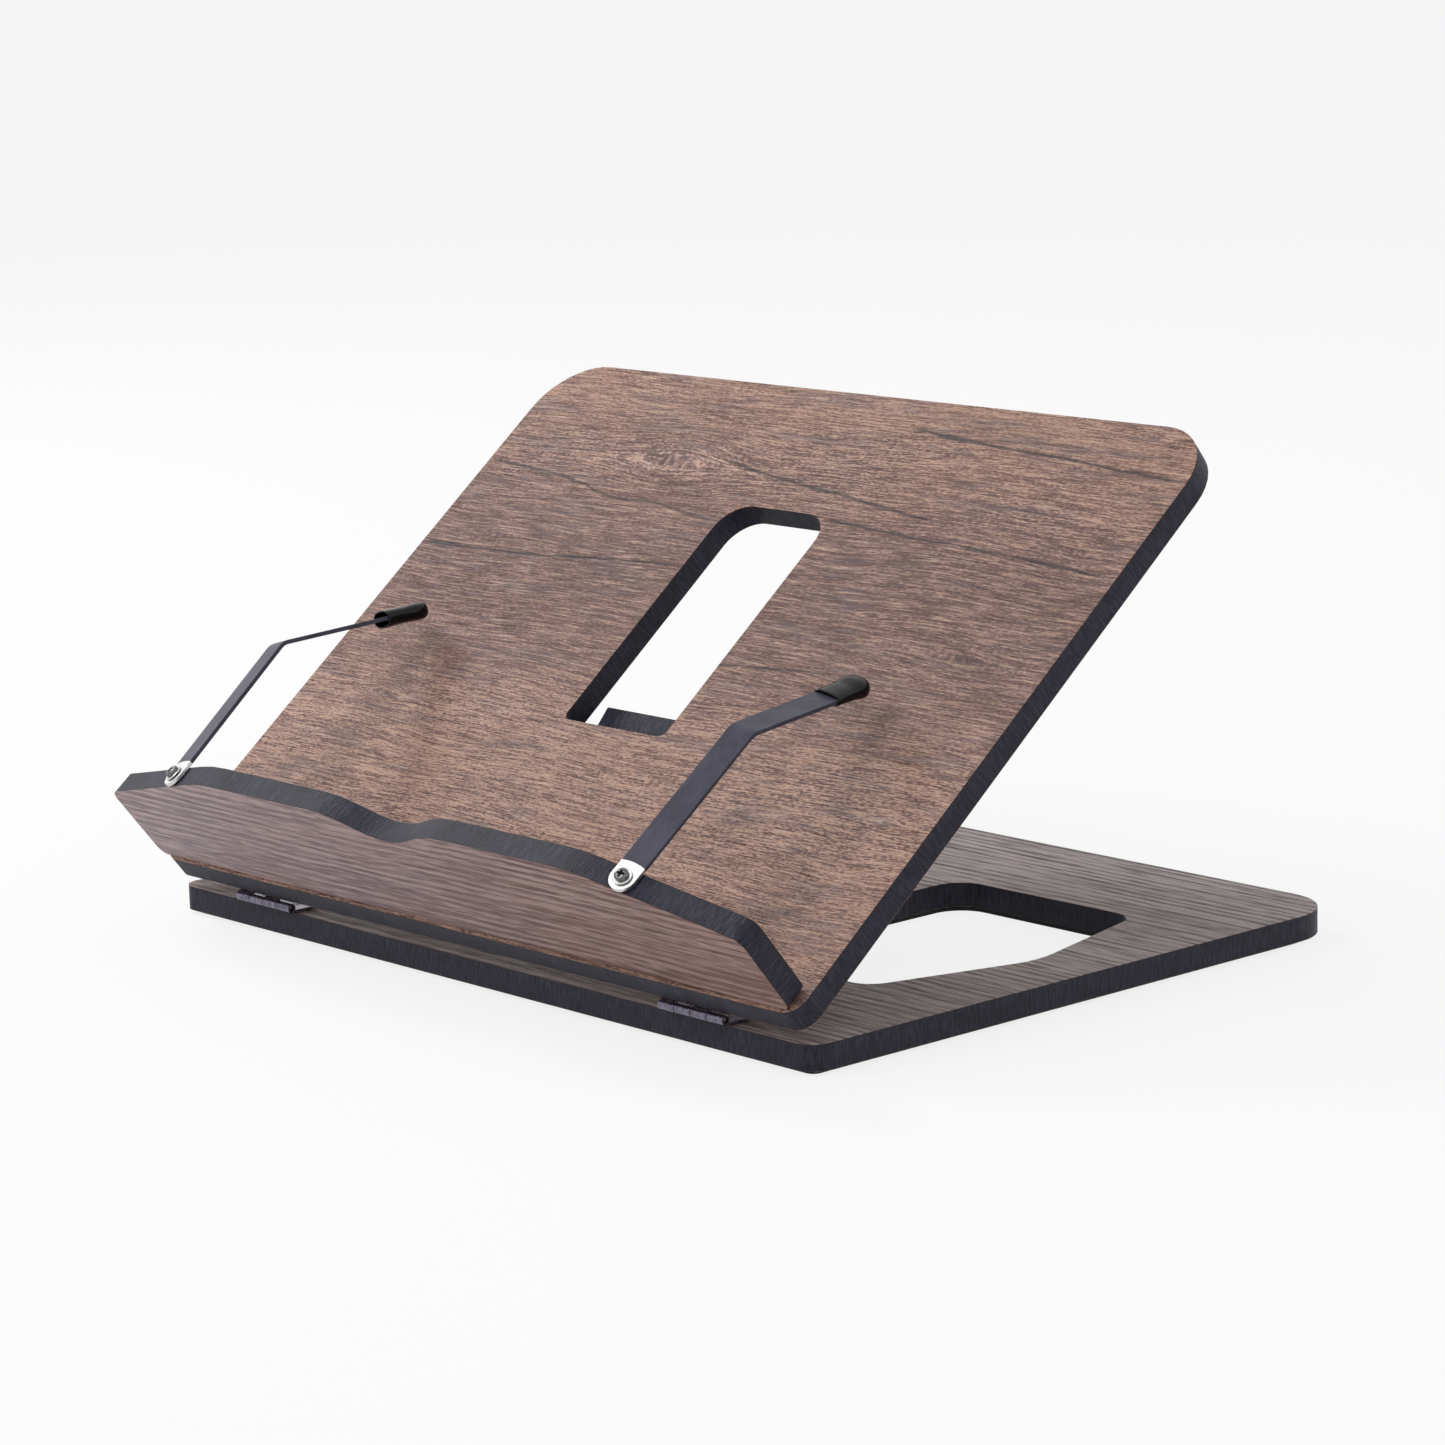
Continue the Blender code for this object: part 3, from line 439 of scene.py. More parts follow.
def wood_print(tree, x, y, z, style):
    """Colour, height and roughness of a printed and embossed wood film."""
    raw_y = y
    flow = tree.noise(tree.vector(x, y, style["seed"]), FLOW_SIZE, 1.0)
    y = tree.math("MULTIPLY_ADD", tree.math("SUBTRACT", flow, 0.5), style["sway"], y)
    marks = None
    if style["knots"]:
        y, marks = knot_field(tree, x, y, style["knots"])
    point = tree.vector(x, y, tree.math("MULTIPLY_ADD", z, 0.05, style["seed"]))

    # Tone, from broad patches to fibres
    tone, _ = tree.curve(raw_y, style["zones"])
    tone = add_layers(tree, point, style["layers"], tone)
    contrast, _ = tree.curve(raw_y, style["contrast"])
    fine = add_layers(tree, point, style["fine_layers"], 0.0)
    tone = tree.math("MULTIPLY_ADD", fine, contrast, tone)
    lines_pitch, lines_wander, lines_gain = style["lines"]
    wander = tree.noise(point, WANDER_SIZE, 2.0, 0.5, (2.2, 2.2, 0))
    turn = tree.math("MULTIPLY_ADD", wander, lines_wander, tree.math(
        "MULTIPLY", y, 2 * math.pi / lines_pitch))
    line = tree.math("SINE", turn)
    broken = tree.ease(tree.noise(point, BREAK_SIZE, 2.0, 0.5, (0, 3.3, 5.5)), *BREAK_RANGE)
    line = tree.math("MULTIPLY", line, broken)
    tone = tree.math("MULTIPLY_ADD", line, lines_gain, tone)
    colour = tree.ramp(tone, style["ramp"])

    # Warmer and cooler patches, and a drift of colour from end to end, which on the ledge is partly a
    # painted sheen
    warm = tree.noise(point, WARM_SIZE, 2.0, 0.5, (5.5, 2.2, 0))
    warm = tree.math("MULTIPLY", tree.ease(warm, *WARM_RANGE, 0.2, 1.0), style["warm_share"])
    warm_zone, _ = tree.curve(raw_y, style["warm_zones"])
    colour = tree.mix(tree.math("MULTIPLY", warm, warm_zone), colour, style["warm"])
    cool = tree.noise(point, COOL_SIZE, 3.0, 0.55, (1.5, 8.2, 0))
    cool = tree.ease(cool, *COOL_RANGE, 0.0, style["cool_share"])
    colour = tree.mix(cool, colour, style["cool"])
    start, end, share = style["drift_and_sheen"]
    drift_and_sheen = tree.mix(tree.ease(x, -HALF_BOARD, HALF_BOARD), start, end)
    colour = tree.mix(share, colour, drift_and_sheen)

    # Short dark strokes and bright fibres
    strokes = tree.noise(point, STROKE_SIZE, 2.0, 0.6, (4.4, 0, 3.1))
    dark = tree.ease(strokes, *DARK_RANGE)
    bright = tree.ease(strokes, *BRIGHT_RANGE)
    cross = tree.noise(point, CROSS_SIZE, 2.0, 0.5, (0, 6.6, 0))
    dark = tree.math(
        "MULTIPLY_ADD", tree.ease(cross, *CROSS_RANGE), style["cross_share"], dark)
    colour = tree.mix(tree.math("MULTIPLY", dark, style["dark_share"]), colour, style["dark"])
    colour = tree.mix(tree.math("MULTIPLY", bright, style["bright_share"]), colour, style["bright"])

    for thickness, darkness, route in style["cracks"]:
        crack = crack_mask(tree, x, raw_y, thickness, darkness, route)
        marks = crack if marks is None else tree.math("MAXIMUM", marks, crack)
    height = tree.math(
        "MULTIPLY_ADD", line, LINE_HEIGHT, tree.math("MULTIPLY", strokes, STROKE_HEIGHT))
    if marks is not None:
        colour = tree.mix(marks, colour, style["crack"])
        height = tree.math("MULTIPLY_ADD", marks, MARK_HEIGHT, height)
    roughness = tree.ease(strokes, *STROKE_ROUGHNESS)
    return colour, height, roughness


PANEL_STYLE = {
    "seed": 0.0, "sway": 9.0, "knots": PANEL_KNOTS, "cracks": PANEL_CRACKS,
    "zones": ((0, 0.65), (40, 0.69), (75, 0.66), (105, 0.43), (150, 0.32), (180, 0.37), (232, 0.54)),
    "contrast": ((0, 1.3), (70, 1.3), (110, 0.75), (160, 0.75), (190, 1.3), (232, 1.8)),
    "layers": ((75, 17, 2.0, 0.35), (42, 4.5, 3.0, 0.3), (4.5, 26, 1.0, 0.2)),
    "fine_layers": ((60, 0.7, 2.0, 0.45), (22, 0.5, 2.0, 0.9), (7, 0.42, 1.0, 1.9),
                    (1.8, 0.45, 1.0, 2.4)),
    "lines": (4.4, 22.0, 0.02),
    "ramp": ((0.0, (82, 60, 58)), (0.3, (116, 88, 84)), (0.5, (143, 110, 103)),
             (0.7, (168, 133, 121)), (1.0, (206, 168, 148))),
    "warm": (180, 138, 116), "warm_share": 0.45,
    "warm_zones": ((0, 0.5), (60, 0.5), (110, 0.2), (150, 0.15), (190, 0.5), (232, 1.0)),
    "cool": (106, 96, 104), "cool_share": 0.45,
    "drift_and_sheen": ((150, 122, 116), (142, 120, 112), 0.12),
    "dark": (78, 58, 58), "dark_share": 0.52, "cross_share": 0.3,
    "bright": (212, 176, 154), "bright_share": 0.5, "crack": (50, 48, 54),
}
BASE_STYLE = {
    "seed": 40.0, "sway": 3.0, "knots": (), "cracks": (),
    # Lighter and less warm towards the back: partly the print's tone, partly a painted sheen
    "zones": ((0, 0.62), (60, 0.76), (120, 0.88), (232, 0.76)),
    "contrast": ((0, 1.8), (232, 1.4)),
    "layers": ((90, 20, 2.0, 0.4), (60, 5, 2.0, 0.5)),
    "fine_layers": ((40, 1.5, 2.0, 1.8), (12, 0.6, 1.0, 1.6)),
    "lines": (4.0, 7.0, 0.75),
    "ramp": ((0.0, (70, 63, 65)), (0.3, (108, 98, 99)), (0.5, (136, 125, 125)),
             (0.7, (158, 147, 146)), (1.0, (195, 183, 181))),
    "warm": (140, 112, 98), "warm_share": 0.5, "warm_zones": ((0, 1.0), (120, 0.5), (232, 0.2)),
    "cool": (104, 102, 108), "cool_share": 0.4,
    "drift_and_sheen": ((124, 116, 116), (124, 114, 112), 0.1),
    "dark": (66, 60, 62), "dark_share": 0.35, "cross_share": 0.0,
    "bright": (166, 156, 152), "bright_share": 0.25, "crack": (60, 55, 60),
}
LEDGE_STYLE = {
    "seed": 80.0, "sway": 4.0, "knots": (), "cracks": (),
    "zones": ((8, 0.50), (30, 0.60), (58, 0.68)),
    "contrast": ((8, 1.3), (58, 1.7)),
    "layers": ((80, 16, 2.0, 0.6), (50, 4.5, 2.0, 0.8)),
    "fine_layers": ((36, 1.6, 2.0, 2.1), (10, 0.7, 1.0, 1.9)),
    "lines": (3.2, 7.0, 0.85),
    "ramp": ((0.0, (74, 59, 60)), (0.3, (107, 88, 88)), (0.5, (132, 110, 109)),
             (0.7, (152, 129, 127)), (1.0, (188, 163, 158))),
    "warm": (150, 108, 92), "warm_share": 0.5, "warm_zones": ((8, 1.0), (30, 0.6), (58, 0.5)),
    "cool": (120, 112, 118), "cool_share": 0.35,
    # The pale grey at the ledge's left end is partly the print's tone and partly a painted sheen
    "drift_and_sheen": ((190, 178, 186), (142, 102, 91), 0.36),
    "dark": (80, 64, 64), "dark_share": 0.4, "cross_share": 0.0,
    "bright": (180, 160, 154), "bright_share": 0.3, "crack": (60, 55, 60),
}
EDGE_DARK = (37, 36, 45)
EDGE_PALE = (61, 61, 76)
EDGE_SPECKLE = (98, 99, 112)
EDGE_ROUGHNESS = 0.5
BOARD_SPECULAR = 0.14
SAW_WIDTH = 0.55
SAW_LENGTH = 5.0
SAW_HEIGHT = 0.8
GRIT_SIZE = (0.5, 0.5, 0.5)
GRIT_HEIGHT = 0.6
EDGE_WASH_SIZE = (16, 16, 5)
FILM_COLOUR = (58, 48, 47)
FILM_THICKNESS = 0.3
FILM_BLEND = 0.08
PRINT_DEPTH = 0.28


def painted_edge(tree, point, face_axis):
    """Colour and height of sawn fibreboard under black paint, with saw marks across the edge."""
    marks = [SAW_WIDTH] * 3
    marks[face_axis] = SAW_LENGTH
    saw = tree.noise(point, marks, 2.0, 0.6)
    grit = tree.noise(point, GRIT_SIZE, 2.0, 0.6, (3, 3, 3))
    wash = tree.noise(point, EDGE_WASH_SIZE, 2.0, 0.5)
    colour = tree.mix(tree.ease(saw, 0.35, 0.65), EDGE_DARK, EDGE_PALE)
    colour = tree.mix(tree.ease(wash, 0.3, 0.7, 0.0, 0.5), colour, EDGE_DARK)
    colour = tree.mix(tree.ease(grit, 0.62, 0.74, 0.0, 0.5), colour, EDGE_SPECKLE)
    height = tree.math(
        "MULTIPLY_ADD", saw, SAW_HEIGHT, tree.math("MULTIPLY", grit, GRIT_HEIGHT))
    return colour, height


def board_material(name, matrix, node, style, face_axis=2, up_axis=1):
    """Printed film on the two faces that the axis crosses, and painted edges between them."""
    tree = Tree(name)
    point, axes = tree.point(matrix)
    low, high = (corner[face_axis] / MM for corner in box_in(node, matrix))
    out = axes[face_axis]
    print_colour, print_height, print_roughness = wood_print(
        tree, axes[0], axes[up_axis], out, style)
    edge_colour, edge_height = painted_edge(tree, point, face_axis)
    from_middle = tree.math("ABSOLUTE", tree.math("SUBTRACT", out, (low + high) / 2))
    depth = tree.math("SUBTRACT", (high - low) / 2, from_middle)
    past_face = tree.ease(depth, FILM_BLEND, FILM_BLEND * 2)
    past_film = tree.ease(depth, FILM_THICKNESS, FILM_THICKNESS + FILM_BLEND)
    side = tree.mix(past_film, FILM_COLOUR, edge_colour)
    tree.set(
        Base_Color=tree.mix(past_face, print_colour, side),
        Roughness=tree.math("MULTIPLY_ADD", past_face, tree.math(
            "SUBTRACT", EDGE_ROUGHNESS, print_roughness), print_roughness),
        Specular_IOR_Level=BOARD_SPECULAR,
        Normal=tree.bump(tree.math("MULTIPLY_ADD", past_face, tree.math(
            "SUBTRACT", edge_height, print_height), print_height), PRINT_DEPTH))
    return tree.material


ROUGHNESS_SPREAD = 0.15


def plain_material(name, colour, other, size, depth, roughness, metallic=0.0, specular=0.5):
    """A finish whose colour, height and gloss vary by noise of one size in mm."""
    tree = Tree(name)
    point, _ = tree.point(Matrix.Identity(4))
    noise = tree.noise(point, size, 3.0, 0.6)
    tree.set(
        Base_Color=tree.mix(tree.ease(noise, 0.3, 0.7), colour, other),
        Roughness=tree.ease(
            noise, 0.25, 0.75, roughness * (1 - ROUGHNESS_SPREAD),
            roughness * (1 + ROUGHNESS_SPREAD)),
        Normal=tree.bump(noise, depth),
        Metallic=metallic, Specular_IOR_Level=specular)
    return tree.material


SCREW_METAL = ((92, 94, 93), (120, 122, 120))
# Painted shade: the colour of the cross recess in the screw heads
SCREW_RECESS_SHADE = (14, 14, 14)
# The painted shade in the cross recess is full at the first value and gone at the second: depth
# below the head's top, and distance from the screw's axis, in mm
RECESS_DEPTHS = (0.4, 0.15)
RECESS_RADII = (1.45, 1.6)


def screw_material(name, matrix, top):
    """Dull nickel, with painted shade in the cross recess below the head's top."""
    tree = Tree(name)
    point, (across, along, out) = tree.point(matrix)
    noise = tree.noise(point, (0.6, 0.6, 0.6), 3.0, 0.6)
    radius = tree.math("SQRT", tree.math(
        "MULTIPLY_ADD", across, across, tree.math("MULTIPLY", along, along)))
    deep, shallow = (top - depth for depth in RECESS_DEPTHS)
    # Painted shade: the cross recess is made dark, rough and not metal, as shade in it would look
    recess_shade = tree.math(
        "MULTIPLY", tree.ease(out, deep, shallow, 1.0, 0.0),
        tree.ease(radius, *RECESS_RADII, 1.0, 0.0))
    metal = tree.mix(tree.ease(noise, 0.3, 0.7), *SCREW_METAL)
    tree.set(
        Base_Color=tree.mix(recess_shade, metal, SCREW_RECESS_SHADE),
        Metallic=tree.math("SUBTRACT", 1.0, recess_shade),
        Roughness=tree.ease(recess_shade, 0.0, 1.0, 0.3, 0.7),
        Normal=tree.bump(noise, 0.01))
    return tree.material


COAT_GRAIN_SIZE = (0.5, 0.5, 0.5)
COAT_WASH_SIZE = (6, 12, 6)
COAT_CHIP_SIZE = (1.4, 1.4, 1.4)
COAT_TONES = ((61, 60, 73), (78, 78, 94))
COAT_CHIPS = (112, 108, 116)
COAT_SPECULAR = 0.2
COAT_BLEND = 0.1
BARE_NICKEL = (208, 208, 207)


def holder_material(side):
    """A black coat that ends in a shallow arc above the pivot, with bare nickel below it."""
    tree = Tree(side + "_holder_coat")
    point, (across, along, _) = tree.point(holder_matrix(side))
    arc = tree.math("DIVIDE", tree.math("MULTIPLY", across, across), 2 * FOOT_END_RADIUS)
    coat = tree.ease(
        tree.math("ADD", along, arc), FOOT_END - COAT_BLEND, FOOT_END + COAT_BLEND)
    grain = tree.noise(point, COAT_GRAIN_SIZE, 3.0, 0.6)
    wash = tree.noise(point, COAT_WASH_SIZE, 3.0, 0.6)
    chips = tree.ease(tree.noise(point, COAT_CHIP_SIZE, 2.0, 0.6, (7, 7, 7)), 0.70, 0.74)
    black = tree.mix(tree.ease(wash, 0.3, 0.7), *COAT_TONES)
    black = tree.mix(tree.math("MULTIPLY", chips, 0.5), black, COAT_CHIPS)
    tree.set(
        Base_Color=tree.mix(coat, BARE_NICKEL, black),
        Metallic=tree.math("SUBTRACT", 1.0, coat),
        Roughness=tree.ease(coat, 0.0, 1.0, 0.36, 0.40), Specular_IOR_Level=COAT_SPECULAR,
        Normal=tree.bump(tree.math("MULTIPLY", tree.math("ADD", grain, 4.0), coat), 0.02))
    return tree.material


# Shape finish
def shade_by_angle():
    """A node group that drops stored normals and smooths all but the sharp edges."""
    group = bpy.data.node_groups.new("shade_by_angle", "GeometryNodeTree")
    group.interface.new_socket("Geometry", in_out="INPUT", socket_type="NodeSocketGeometry")
    group.interface.new_socket("Geometry", in_out="OUTPUT", socket_type="NodeSocketGeometry")
    make = group.nodes.new
    start, end = make("NodeGroupInput"), make("NodeGroupOutput")
    bare = make("GeometryNodeRemoveAttribute")
    bare.inputs["Name"].default_value = "custom_normal"
    faces = make("GeometryNodeSetShadeSmooth")
    edges = make("GeometryNodeSetShadeSmooth")
    edges.domain = "EDGE"
    edges.inputs["Shade Smooth"].default_value = False
    angle = make("GeometryNodeInputMeshEdgeAngle")
    sharp = make("FunctionNodeCompare")
    sharp.data_type = "FLOAT"
    sharp.operation = "GREATER_THAN"
    sharp.inputs["B"].default_value = math.radians(SHARP_ANGLE)
    link = group.links.new
    link(start.outputs[0], bare.inputs["Geometry"])
    link(bare.outputs[0], faces.inputs["Geometry"])
    link(faces.outputs[0], edges.inputs["Geometry"])
    link(angle.outputs["Unsigned Angle"], sharp.inputs["A"])
    link(sharp.outputs[0], edges.inputs["Selection"])
    link(edges.outputs[0], end.inputs[0])
    return group


shading = shade_by_angle()


def finish_shape(made, edge, segments=BOARD_SEGMENTS, bevel_angle=SHARP_ANGLE):
    """Welds, rounds and smooths a solid by modifiers, so that its own mesh stays as it is."""
    weld = made.modifiers.new("weld", "WELD")
    weld.merge_threshold = WELD_REACH
    flat = made.modifiers.new("flat_faces", "DECIMATE")
    flat.decimate_type = "DISSOLVE"
    flat.angle_limit = math.radians(FLAT_ANGLE)
    if edge:
        rounded = made.modifiers.new("rounded_edges", "BEVEL")
        rounded.width = edge
        rounded.segments = segments
        rounded.limit_method = "ANGLE"
        rounded.angle_limit = math.radians(bevel_angle)
        rounded.miter_outer = "MITER_ARC"
    smooth = made.modifiers.new("smooth", "NODES")
    smooth.node_group = shading
    normals = made.modifiers.new("normals", "WEIGHTED_NORMAL")
    normals.keep_sharp = True
    normals.weight = NORMALS_WEIGHT


def dress(node, look, edge, segments=BOARD_SEGMENTS, bevel_angle=SHARP_ANGLE):
    """Gives a node of the frame its material and its rounded edges."""
    piece = nodes[node]
    piece.data.materials.clear()
    piece.data.materials.append(look)
    finish_shape(piece, edge, segments, bevel_angle)


# New pieces
def new_piece(name, work, matrix, look):
    """An object from a bmesh in millimetres, set down by a matrix in metres."""
    mesh = bpy.data.meshes.new(name)
    bmesh.ops.recalc_face_normals(work, faces=work.faces)
    work.to_mesh(mesh)
    work.free()
    mesh.transform(matrix @ Matrix.Scale(MM, 4))
    mesh.materials.append(look)
    made = bpy.data.objects.new(name, mesh)
    bpy.context.scene.collection.objects.link(made)
    return made


def bridge(work, rings):
    for first, second in zip(rings, rings[1:]):
        for index in range(len(first)):
            after = (index + 1) % len(first)
            work.faces.new((first[index], second[index], second[after], first[after]))


def lathe(profile, closed=False):
    """A bmesh turned about Z from a profile of radius and height."""
    work = bmesh.new()
    rings = []
    for radius, height in profile:
        if radius == 0:
            rings.append([work.verts.new((0, 0, height))])
            continue
        turns = [2 * math.pi * index / LATHE_SIDES for index in range(LATHE_SIDES)]
        rings.append([
            work.verts.new((radius * math.cos(turn), radius * math.sin(turn), height))
            for turn in turns])
    if closed:
        rings.append(rings[0])
    for first, second in zip(rings, rings[1:]):
        for index in range(LATHE_SIDES):
            after = (index + 1) % LATHE_SIDES
            corners = [first[index % len(first)], second[index % len(second)],
                       second[after % len(second)], first[after % len(first)]]
            corners = list(dict.fromkeys(corners))
            work.faces.new(corners)
    return work


# Shares of the recess's half length and half width at the cutter's foot and its top
CUTTER_FOOT = (0.3, 0.6)
CUTTER_TOP = (1.7, 1.4)


def cross_cutter(top, half_length, half_width, depth):
    """Two crossed wedges that narrow downwards, for a cross recess."""
    cutters = []
    for turn in (0, 1):
        work = bmesh.new()
        rings = []
        for height, shares in ((top - depth, CUTTER_FOOT), (top + depth, CUTTER_TOP)):
            length, width = half_length * shares[0], half_width * shares[1]
            corners = [(-length, -width), (length, -width), (length, width), (-length, width)]
            if turn:
                corners = [(-y, x) for x, y in corners]
            rings.append([work.verts.new((x, y, height)) for x, y in corners])
        bridge(work, rings)
        work.faces.new(rings[0])
        work.faces.new(rings[1])
        cutters.append(work)
    return cutters


def screw(name, profile, cross, matrix, look):
    """A screw with a cross recess, its head's seat at the matrix's origin."""
    made = new_piece(name, lathe(profile), Matrix.Identity(4), look)
    cutters = [
        new_piece(name + "_cutter", work, Matrix.Identity(4), look)
        for work in cross_cutter(profile[-1][1], *cross)]
    for cutter in cutters:
        change = made.modifiers.new("cut", "BOOLEAN")
        change.operation = "DIFFERENCE"
        change.solver = "EXACT"
        change.object = cutter
    bpy.context.view_layer.update()
    graph = bpy.context.evaluated_depsgraph_get()
    mesh = bpy.data.meshes.new_from_object(made.evaluated_get(graph))
    made.modifiers.clear()
    for cutter in cutters:
        bpy.data.objects.remove(cutter, do_unlink=True)
    mesh.transform(matrix)
    made.data = mesh
    finish_shape(made, SCREW_EDGE, SMALL_SEGMENTS)
    return made


def eased(first, second, share):
    share = min(max(share, 0.0), 1.0)
    return first + (second - first) * share * share * (3 - 2 * share)


def cap_half(along, halves):
    """Half the cap's width or height at one place along it, before its tip is rounded."""
    waist = CAP_LENGTH * CAP_WAIST_SHARE
    swell = CAP_LENGTH * CAP_SWELL_SHARE
    mouth, middle, end = halves
    if along < waist:
        return eased(mouth, middle, along / waist)
    return eased(middle, end, (along - waist) / (swell - waist))


def cap_ring(work, along, half_width, half_height, power):
    ring = []
    for index in range(CAP_SIDES):
        turn = 2 * math.pi * (index + 0.5) / CAP_SIDES
        x, z = math.cos(turn), math.sin(turn)
        reach = (abs(x) ** power + abs(z) ** power) ** (-1 / power)
        ring.append(work.verts.new((x * reach * half_width, along, z * reach * half_height)))
    return ring


def holder_cap(side, look):
    """A dipped sleeve: outer skin from its tip to a rolled lip, then the pocket's walls."""
    halves = CAP_HALF_HEIGHTS[side]
    work = bmesh.new()
    rings = []
    for step in range(1, CAP_TIP_STEPS + 1):
        fall = math.pi / 2 * step / CAP_TIP_STEPS
        along = CAP_LENGTH - CAP_TIP * (1 - math.cos(fall))
        width = cap_half(along, CAP_HALF_WIDTHS) * math.sin(fall)
        flat = min((CAP_LENGTH - along) / halves[2], 1.0)
        height = cap_half(along, halves) * math.sqrt(1 - (1 - flat) ** 2)
        rings.append(cap_ring(work, along, width, height, CAP_ROUND))
    lip = CAP_WALL / 2
    straight = CAP_LENGTH - CAP_TIP
    for step in range(1, CAP_BODY_STEPS + 1):
        along = straight + (lip - straight) * step / CAP_BODY_STEPS
        width = cap_half(along, CAP_HALF_WIDTHS)
        height = cap_half(along, halves)
        rings.append(cap_ring(work, along, width, height, CAP_ROUND))
    for step in range(1, CAP_LIP_STEPS):
        turn = math.pi * step / CAP_LIP_STEPS
        inset = lip * (1 - math.cos(turn))
        rings.append(cap_ring(
            work, lip * (1 - math.sin(turn)), CAP_HALF_WIDTHS[0] - inset,
            halves[0] - inset, CAP_ROUND))
    for step in range(CAP_POCKET_STEPS + 1):
        share = step / CAP_POCKET_STEPS
        along = lip + (CAP_POCKET_DEPTH - lip) * share ** CAP_POCKET_SPACING
        taper = (along - lip) / CAP_POCKET_TAPER
        width = eased(CAP_HALF_WIDTHS[0] - CAP_WALL, CAP_POCKET_HALF_WIDTH, taper)
        height = eased(halves[0] - CAP_WALL, CAP_POCKET_HALF_HEIGHT, taper)
        rings.append(cap_ring(
            work, along, width, height, eased(CAP_ROUND, CAP_POCKET_ROUND, taper)))
    bridge(work, rings)
    work.faces.new(rings[0])
    work.faces.new(rings[-1])
    for face in work.faces:
        face.smooth = True
    made = new_piece(side + "_cap_sleeve", work, cap_matrix(side), look)
    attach(made, side + "_holder")
    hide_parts(side + "_holder_cap")


def pivot_parts(side, washer_look):
    """The washer on the holder's foot and the pan-head screw on it."""
    place = holder_matrix(side)
    seat = box_in(side + "_pivot_washer", place)
    washer = new_piece(
        side + "_washer_ring", lathe(WASHER_PROFILE, True),
        place @ Matrix.Translation((0, 0, seat[0].z)), washer_look)
    finish_shape(washer, 0)
    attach(washer, WASHER_BODY)
    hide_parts(side + "_pivot_washer")
    turned = Matrix.Rotation(math.radians(PIVOT_TURNS[side]), 4, "Z")
    head = place @ Matrix.Translation((0, 0, seat[1].z + PIVOT_HEAD_GAP * MM)) @ turned
    screw_look = screw_material(side + "_pivot_nickel", head, PIVOT_HEAD[-1][1])
    made = screw(
        side + "_pivot_pan_screw", PIVOT_SHANK + PIVOT_HEAD, PIVOT_CROSS, head, screw_look)
    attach(made, WASHER_BODY)
    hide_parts(side + "_pivot_screw")


def hinge_screws(look):
    """Countersunk screws in the holes of the hinge leaves."""
    back = Matrix.Rotation(math.pi, 4, "X")
    leg_out = fold_leg.inverted().to_3x3() @ panel_frame.to_3x3().col[2]
    leg_axes = board_matrix(prop_place, leg_out)
    prop_in_panel = panel_frame.inverted() @ prop_place
    spots = []
    for number, centre in enumerate((HINGE_INSET - HALF_BOARD, HALF_BOARD - HINGE_INSET)):
        name = SIDES[number] + "_hinge"
        spots.append((name + "_panel", "panel", panel_frame, centre, FOLD_HOLE_REACH, LEAF_FACE, 1))
        spots.append((name + "_base", "base", board_matrix(fold_place, (0, 0, 1)), centre,
                      FOLD_HOLE_REACH, -LEAF_FACE, 0))
    spots.append(("prop_hinge_panel", "panel", panel_frame, 0.0,
                  prop_in_panel.y / MM - PROP_PANEL_HOLE_REACH,
                  prop_in_panel.z / MM + PROP_LEAF_FACE, 1))
    spots.append(("prop_hinge_leg", "leg", leg_axes, 0.0, PROP_LEG_HOLE_REACH, PROP_LEAF_FACE, 1))
    for name, body, axes, centre, reach, face, flip in spots:
        for number, side in enumerate((-1, 1)):
            spot = axes @ Matrix.Translation(
                Vector((centre + side * HINGE_HOLE_SPREAD, reach, face)) * MM)
            turned = Matrix.Rotation(math.radians(HINGE_TURN_STEP * (number + len(name))), 4, "Z")
            spot = spot @ (back if flip else Matrix.Identity(4)) @ turned
            made = screw(
                f"{name}_screw_{number + 1}", HINGE_SHANK + HINGE_HEAD, HINGE_CROSS, spot, look)
            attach(made, body)


# Dress the boards
# The rims of the base's grooves stay sharp: a bevel on them folds the board's top over itself
dress("base_board", board_material(
    "base_print", base_frame, "base_board", BASE_STYLE), BOARD_EDGE, bevel_angle=BASE_BEVEL_ANGLE)
dress("book_panel", board_material(
    "panel_print", panel_frame, "book_panel", PANEL_STYLE), BOARD_EDGE)
dress("prop_leg", board_material(
    "leg_print", folded_leg_frame, "prop_leg", PANEL_STYLE), BOARD_EDGE)
dress("ledge", board_material("ledge_print", panel_frame, "ledge", LEDGE_STYLE, 1, 2), LEDGE_EDGE)

# Dress the metal, rubber and foam
sheet_look = plain_material("sheet_foam", (30, 30, 32), (40, 40, 42), (0.6, 0.6, 0.6), 0.1, 0.9)
bronze = plain_material(
    "hinge_bronze", (92, 88, 102), (124, 119, 134), (1.6, 1.6, 1.6), 0.006, 0.27, 1.0)
pin_bronze = plain_material(
    "pin_bronze", (92, 80, 78), (124, 110, 106), (0.8, 0.8, 0.8), 0.02, 0.3, 1.0)
vinyl = plain_material("cap_vinyl", (7, 8, 13), (11, 12, 18), (3, 3, 3), 0.03, 0.1, 0.0, 0.2)
nickel = plain_material(
    "washer_nickel", (205, 205, 203), (226, 226, 224), (0.9, 0.9, 0.9), 0.01, 0.22, 1.0)
brass = plain_material(
    "hinge_screw_bronze", (112, 98, 92), (140, 124, 116), (0.5, 0.5, 0.5), 0.01, 0.34, 1.0)

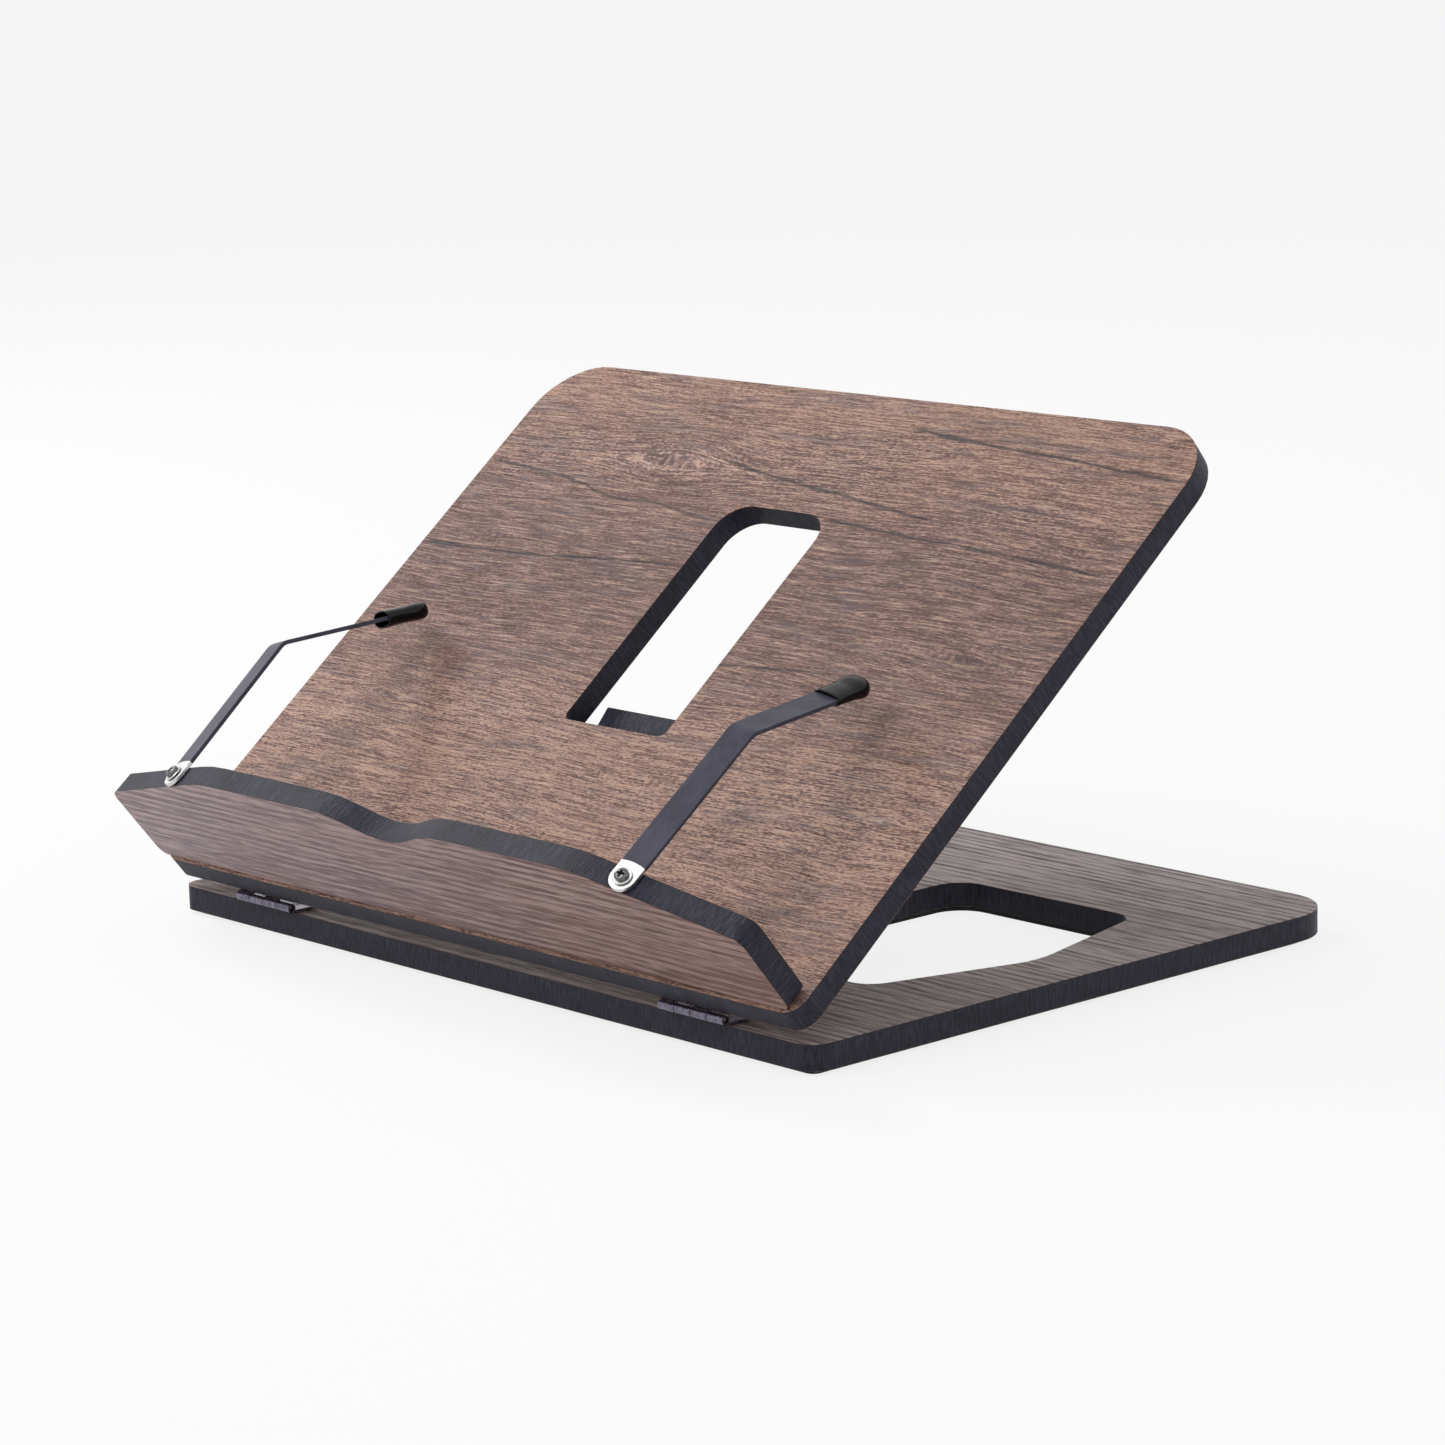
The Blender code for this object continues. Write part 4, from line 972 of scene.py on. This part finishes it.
dress("anti_slip_sheet", sheet_look, SMALL_EDGE, SMALL_SEGMENTS)
for side in SIDES:
    for leaf in ("_hinge_base_leaf", "_hinge_panel_leaf"):
        dress(side + leaf, bronze, SMALL_EDGE, SMALL_SEGMENTS)
    dress(side + "_hinge_pin", pin_bronze, SMALL_EDGE, SMALL_SEGMENTS)
    dress(side + "_holder_strip", holder_material(side), STRIP_EDGE)
    holder_cap(side, vinyl)
    pivot_parts(side, nickel)
for leaf in ("prop_hinge_panel_leaf", "prop_hinge_leg_leaf"):
    dress(leaf, bronze, SMALL_EDGE, SMALL_SEGMENTS)
dress("prop_hinge_pin", pin_bronze, SMALL_EDGE, SMALL_SEGMENTS)
hinge_screws(brass)


# Studio
def make_camera():
    yaw, pitch, roll = (math.radians(angle) for angle in (CAMERA_YAW, CAMERA_PITCH, CAMERA_ROLL))
    forward = Vector((-math.sin(yaw) * math.cos(pitch), math.cos(yaw) * math.cos(pitch),
                      -math.sin(pitch)))
    right = Vector((math.cos(yaw), math.sin(yaw), 0))
    up = right.cross(forward)
    tilted = right * math.cos(roll) + up * math.sin(roll)
    raised = up * math.cos(roll) - right * math.sin(roll)
    lens = bpy.data.cameras.new("camera")
    lens.lens = CAMERA_LENS
    lens.sensor_width = SENSOR_WIDTH
    lens.clip_start = 0.01
    camera = bpy.data.objects.new("camera", lens)
    bpy.context.scene.collection.objects.link(camera)
    camera.matrix_world = axes_matrix(CAMERA_PLACE, tilted, raised, -forward)
    bpy.context.scene.camera = camera


def area_light(name, place, size, power):
    lamp = bpy.data.lights.new(name, "AREA")
    lamp.shape = "DISK"
    lamp.size = size
    lamp.energy = power
    light = bpy.data.objects.new(name, lamp)
    bpy.context.scene.collection.objects.link(light)
    light.location = place
    light.rotation_euler = (-Vector(place)).to_track_quat("-Z", "Y").to_euler()


def seen_directly(tree):
    """1 for rays that the camera, a mirror or glass sends out, and 0 for lighting."""
    path = tree.nodes.new("ShaderNodeLightPath")
    total = path.outputs["Is Camera Ray"]
    for name in ("Is Glossy Ray", "Is Transmission Ray"):
        larger = tree.nodes.new("ShaderNodeMath")
        larger.operation = "MAXIMUM"
        tree.links.new(total, larger.inputs[0])
        tree.links.new(path.outputs[name], larger.inputs[1])
        total = larger.outputs[0]
    return total


def make_world():
    world = bpy.data.worlds.new("studio")
    world.use_nodes = True
    tree = world.node_tree
    background = tree.nodes["Background"]
    background.inputs["Color"].default_value = (1, 1, 1, 1)
    strength = tree.nodes.new("ShaderNodeMapRange")
    strength.inputs["To Min"].default_value = SKY_STRENGTH
    strength.inputs["To Max"].default_value = BACKDROP_STRENGTH
    tree.links.new(seen_directly(tree), strength.inputs["Value"])
    tree.links.new(strength.outputs[0], background.inputs["Strength"])
    bpy.context.scene.world = world


def make_floor():
    """White paper with the object's shadow on it, and clear when it is seen from below."""
    work = bmesh.new()
    bmesh.ops.create_grid(work, x_segments=1, y_segments=1, size=FLOOR_SIZE)
    mesh = bpy.data.meshes.new("floor")
    work.to_mesh(mesh)
    work.free()
    floor = bpy.data.objects.new("floor", mesh)
    floor.location.z = -FLOOR_DROP
    bpy.context.scene.collection.objects.link(floor)
    look = Tree("floor_paper")
    look.set(Base_Color=(*linear(FLOOR_COLOUR), 1.0), Roughness=FLOOR_ROUGHNESS)
    glow = look.add("ShaderNodeEmission", {"Strength": BACKDROP_STRENGTH})
    share = look.math("MULTIPLY", seen_directly(look.tree), FLOOR_GLOW_SHARE)
    blend = look.add("ShaderNodeMixShader", {0: share, 1: look.shader.outputs[0], 2: glow.outputs[0]})
    clear = look.add("ShaderNodeBsdfTransparent")
    behind = look.add("ShaderNodeNewGeometry").outputs["Backfacing"]
    sheet = look.add("ShaderNodeMixShader", {0: behind, 1: blend.outputs[0], 2: clear.outputs[0]})
    look.tree.links.new(sheet.outputs[0], look.output.inputs["Surface"])
    mesh.materials.append(look.material)


make_camera()
make_world()
make_floor()
area_light("key", KEY_PLACE, KEY_SIZE, KEY_POWER)
area_light("softbox", SOFTBOX_PLACE, SOFTBOX_SIZE, SOFTBOX_POWER)
area_light("fill", FILL_PLACE, FILL_SIZE, FILL_POWER)
bpy.context.scene.view_settings.view_transform = "Standard"
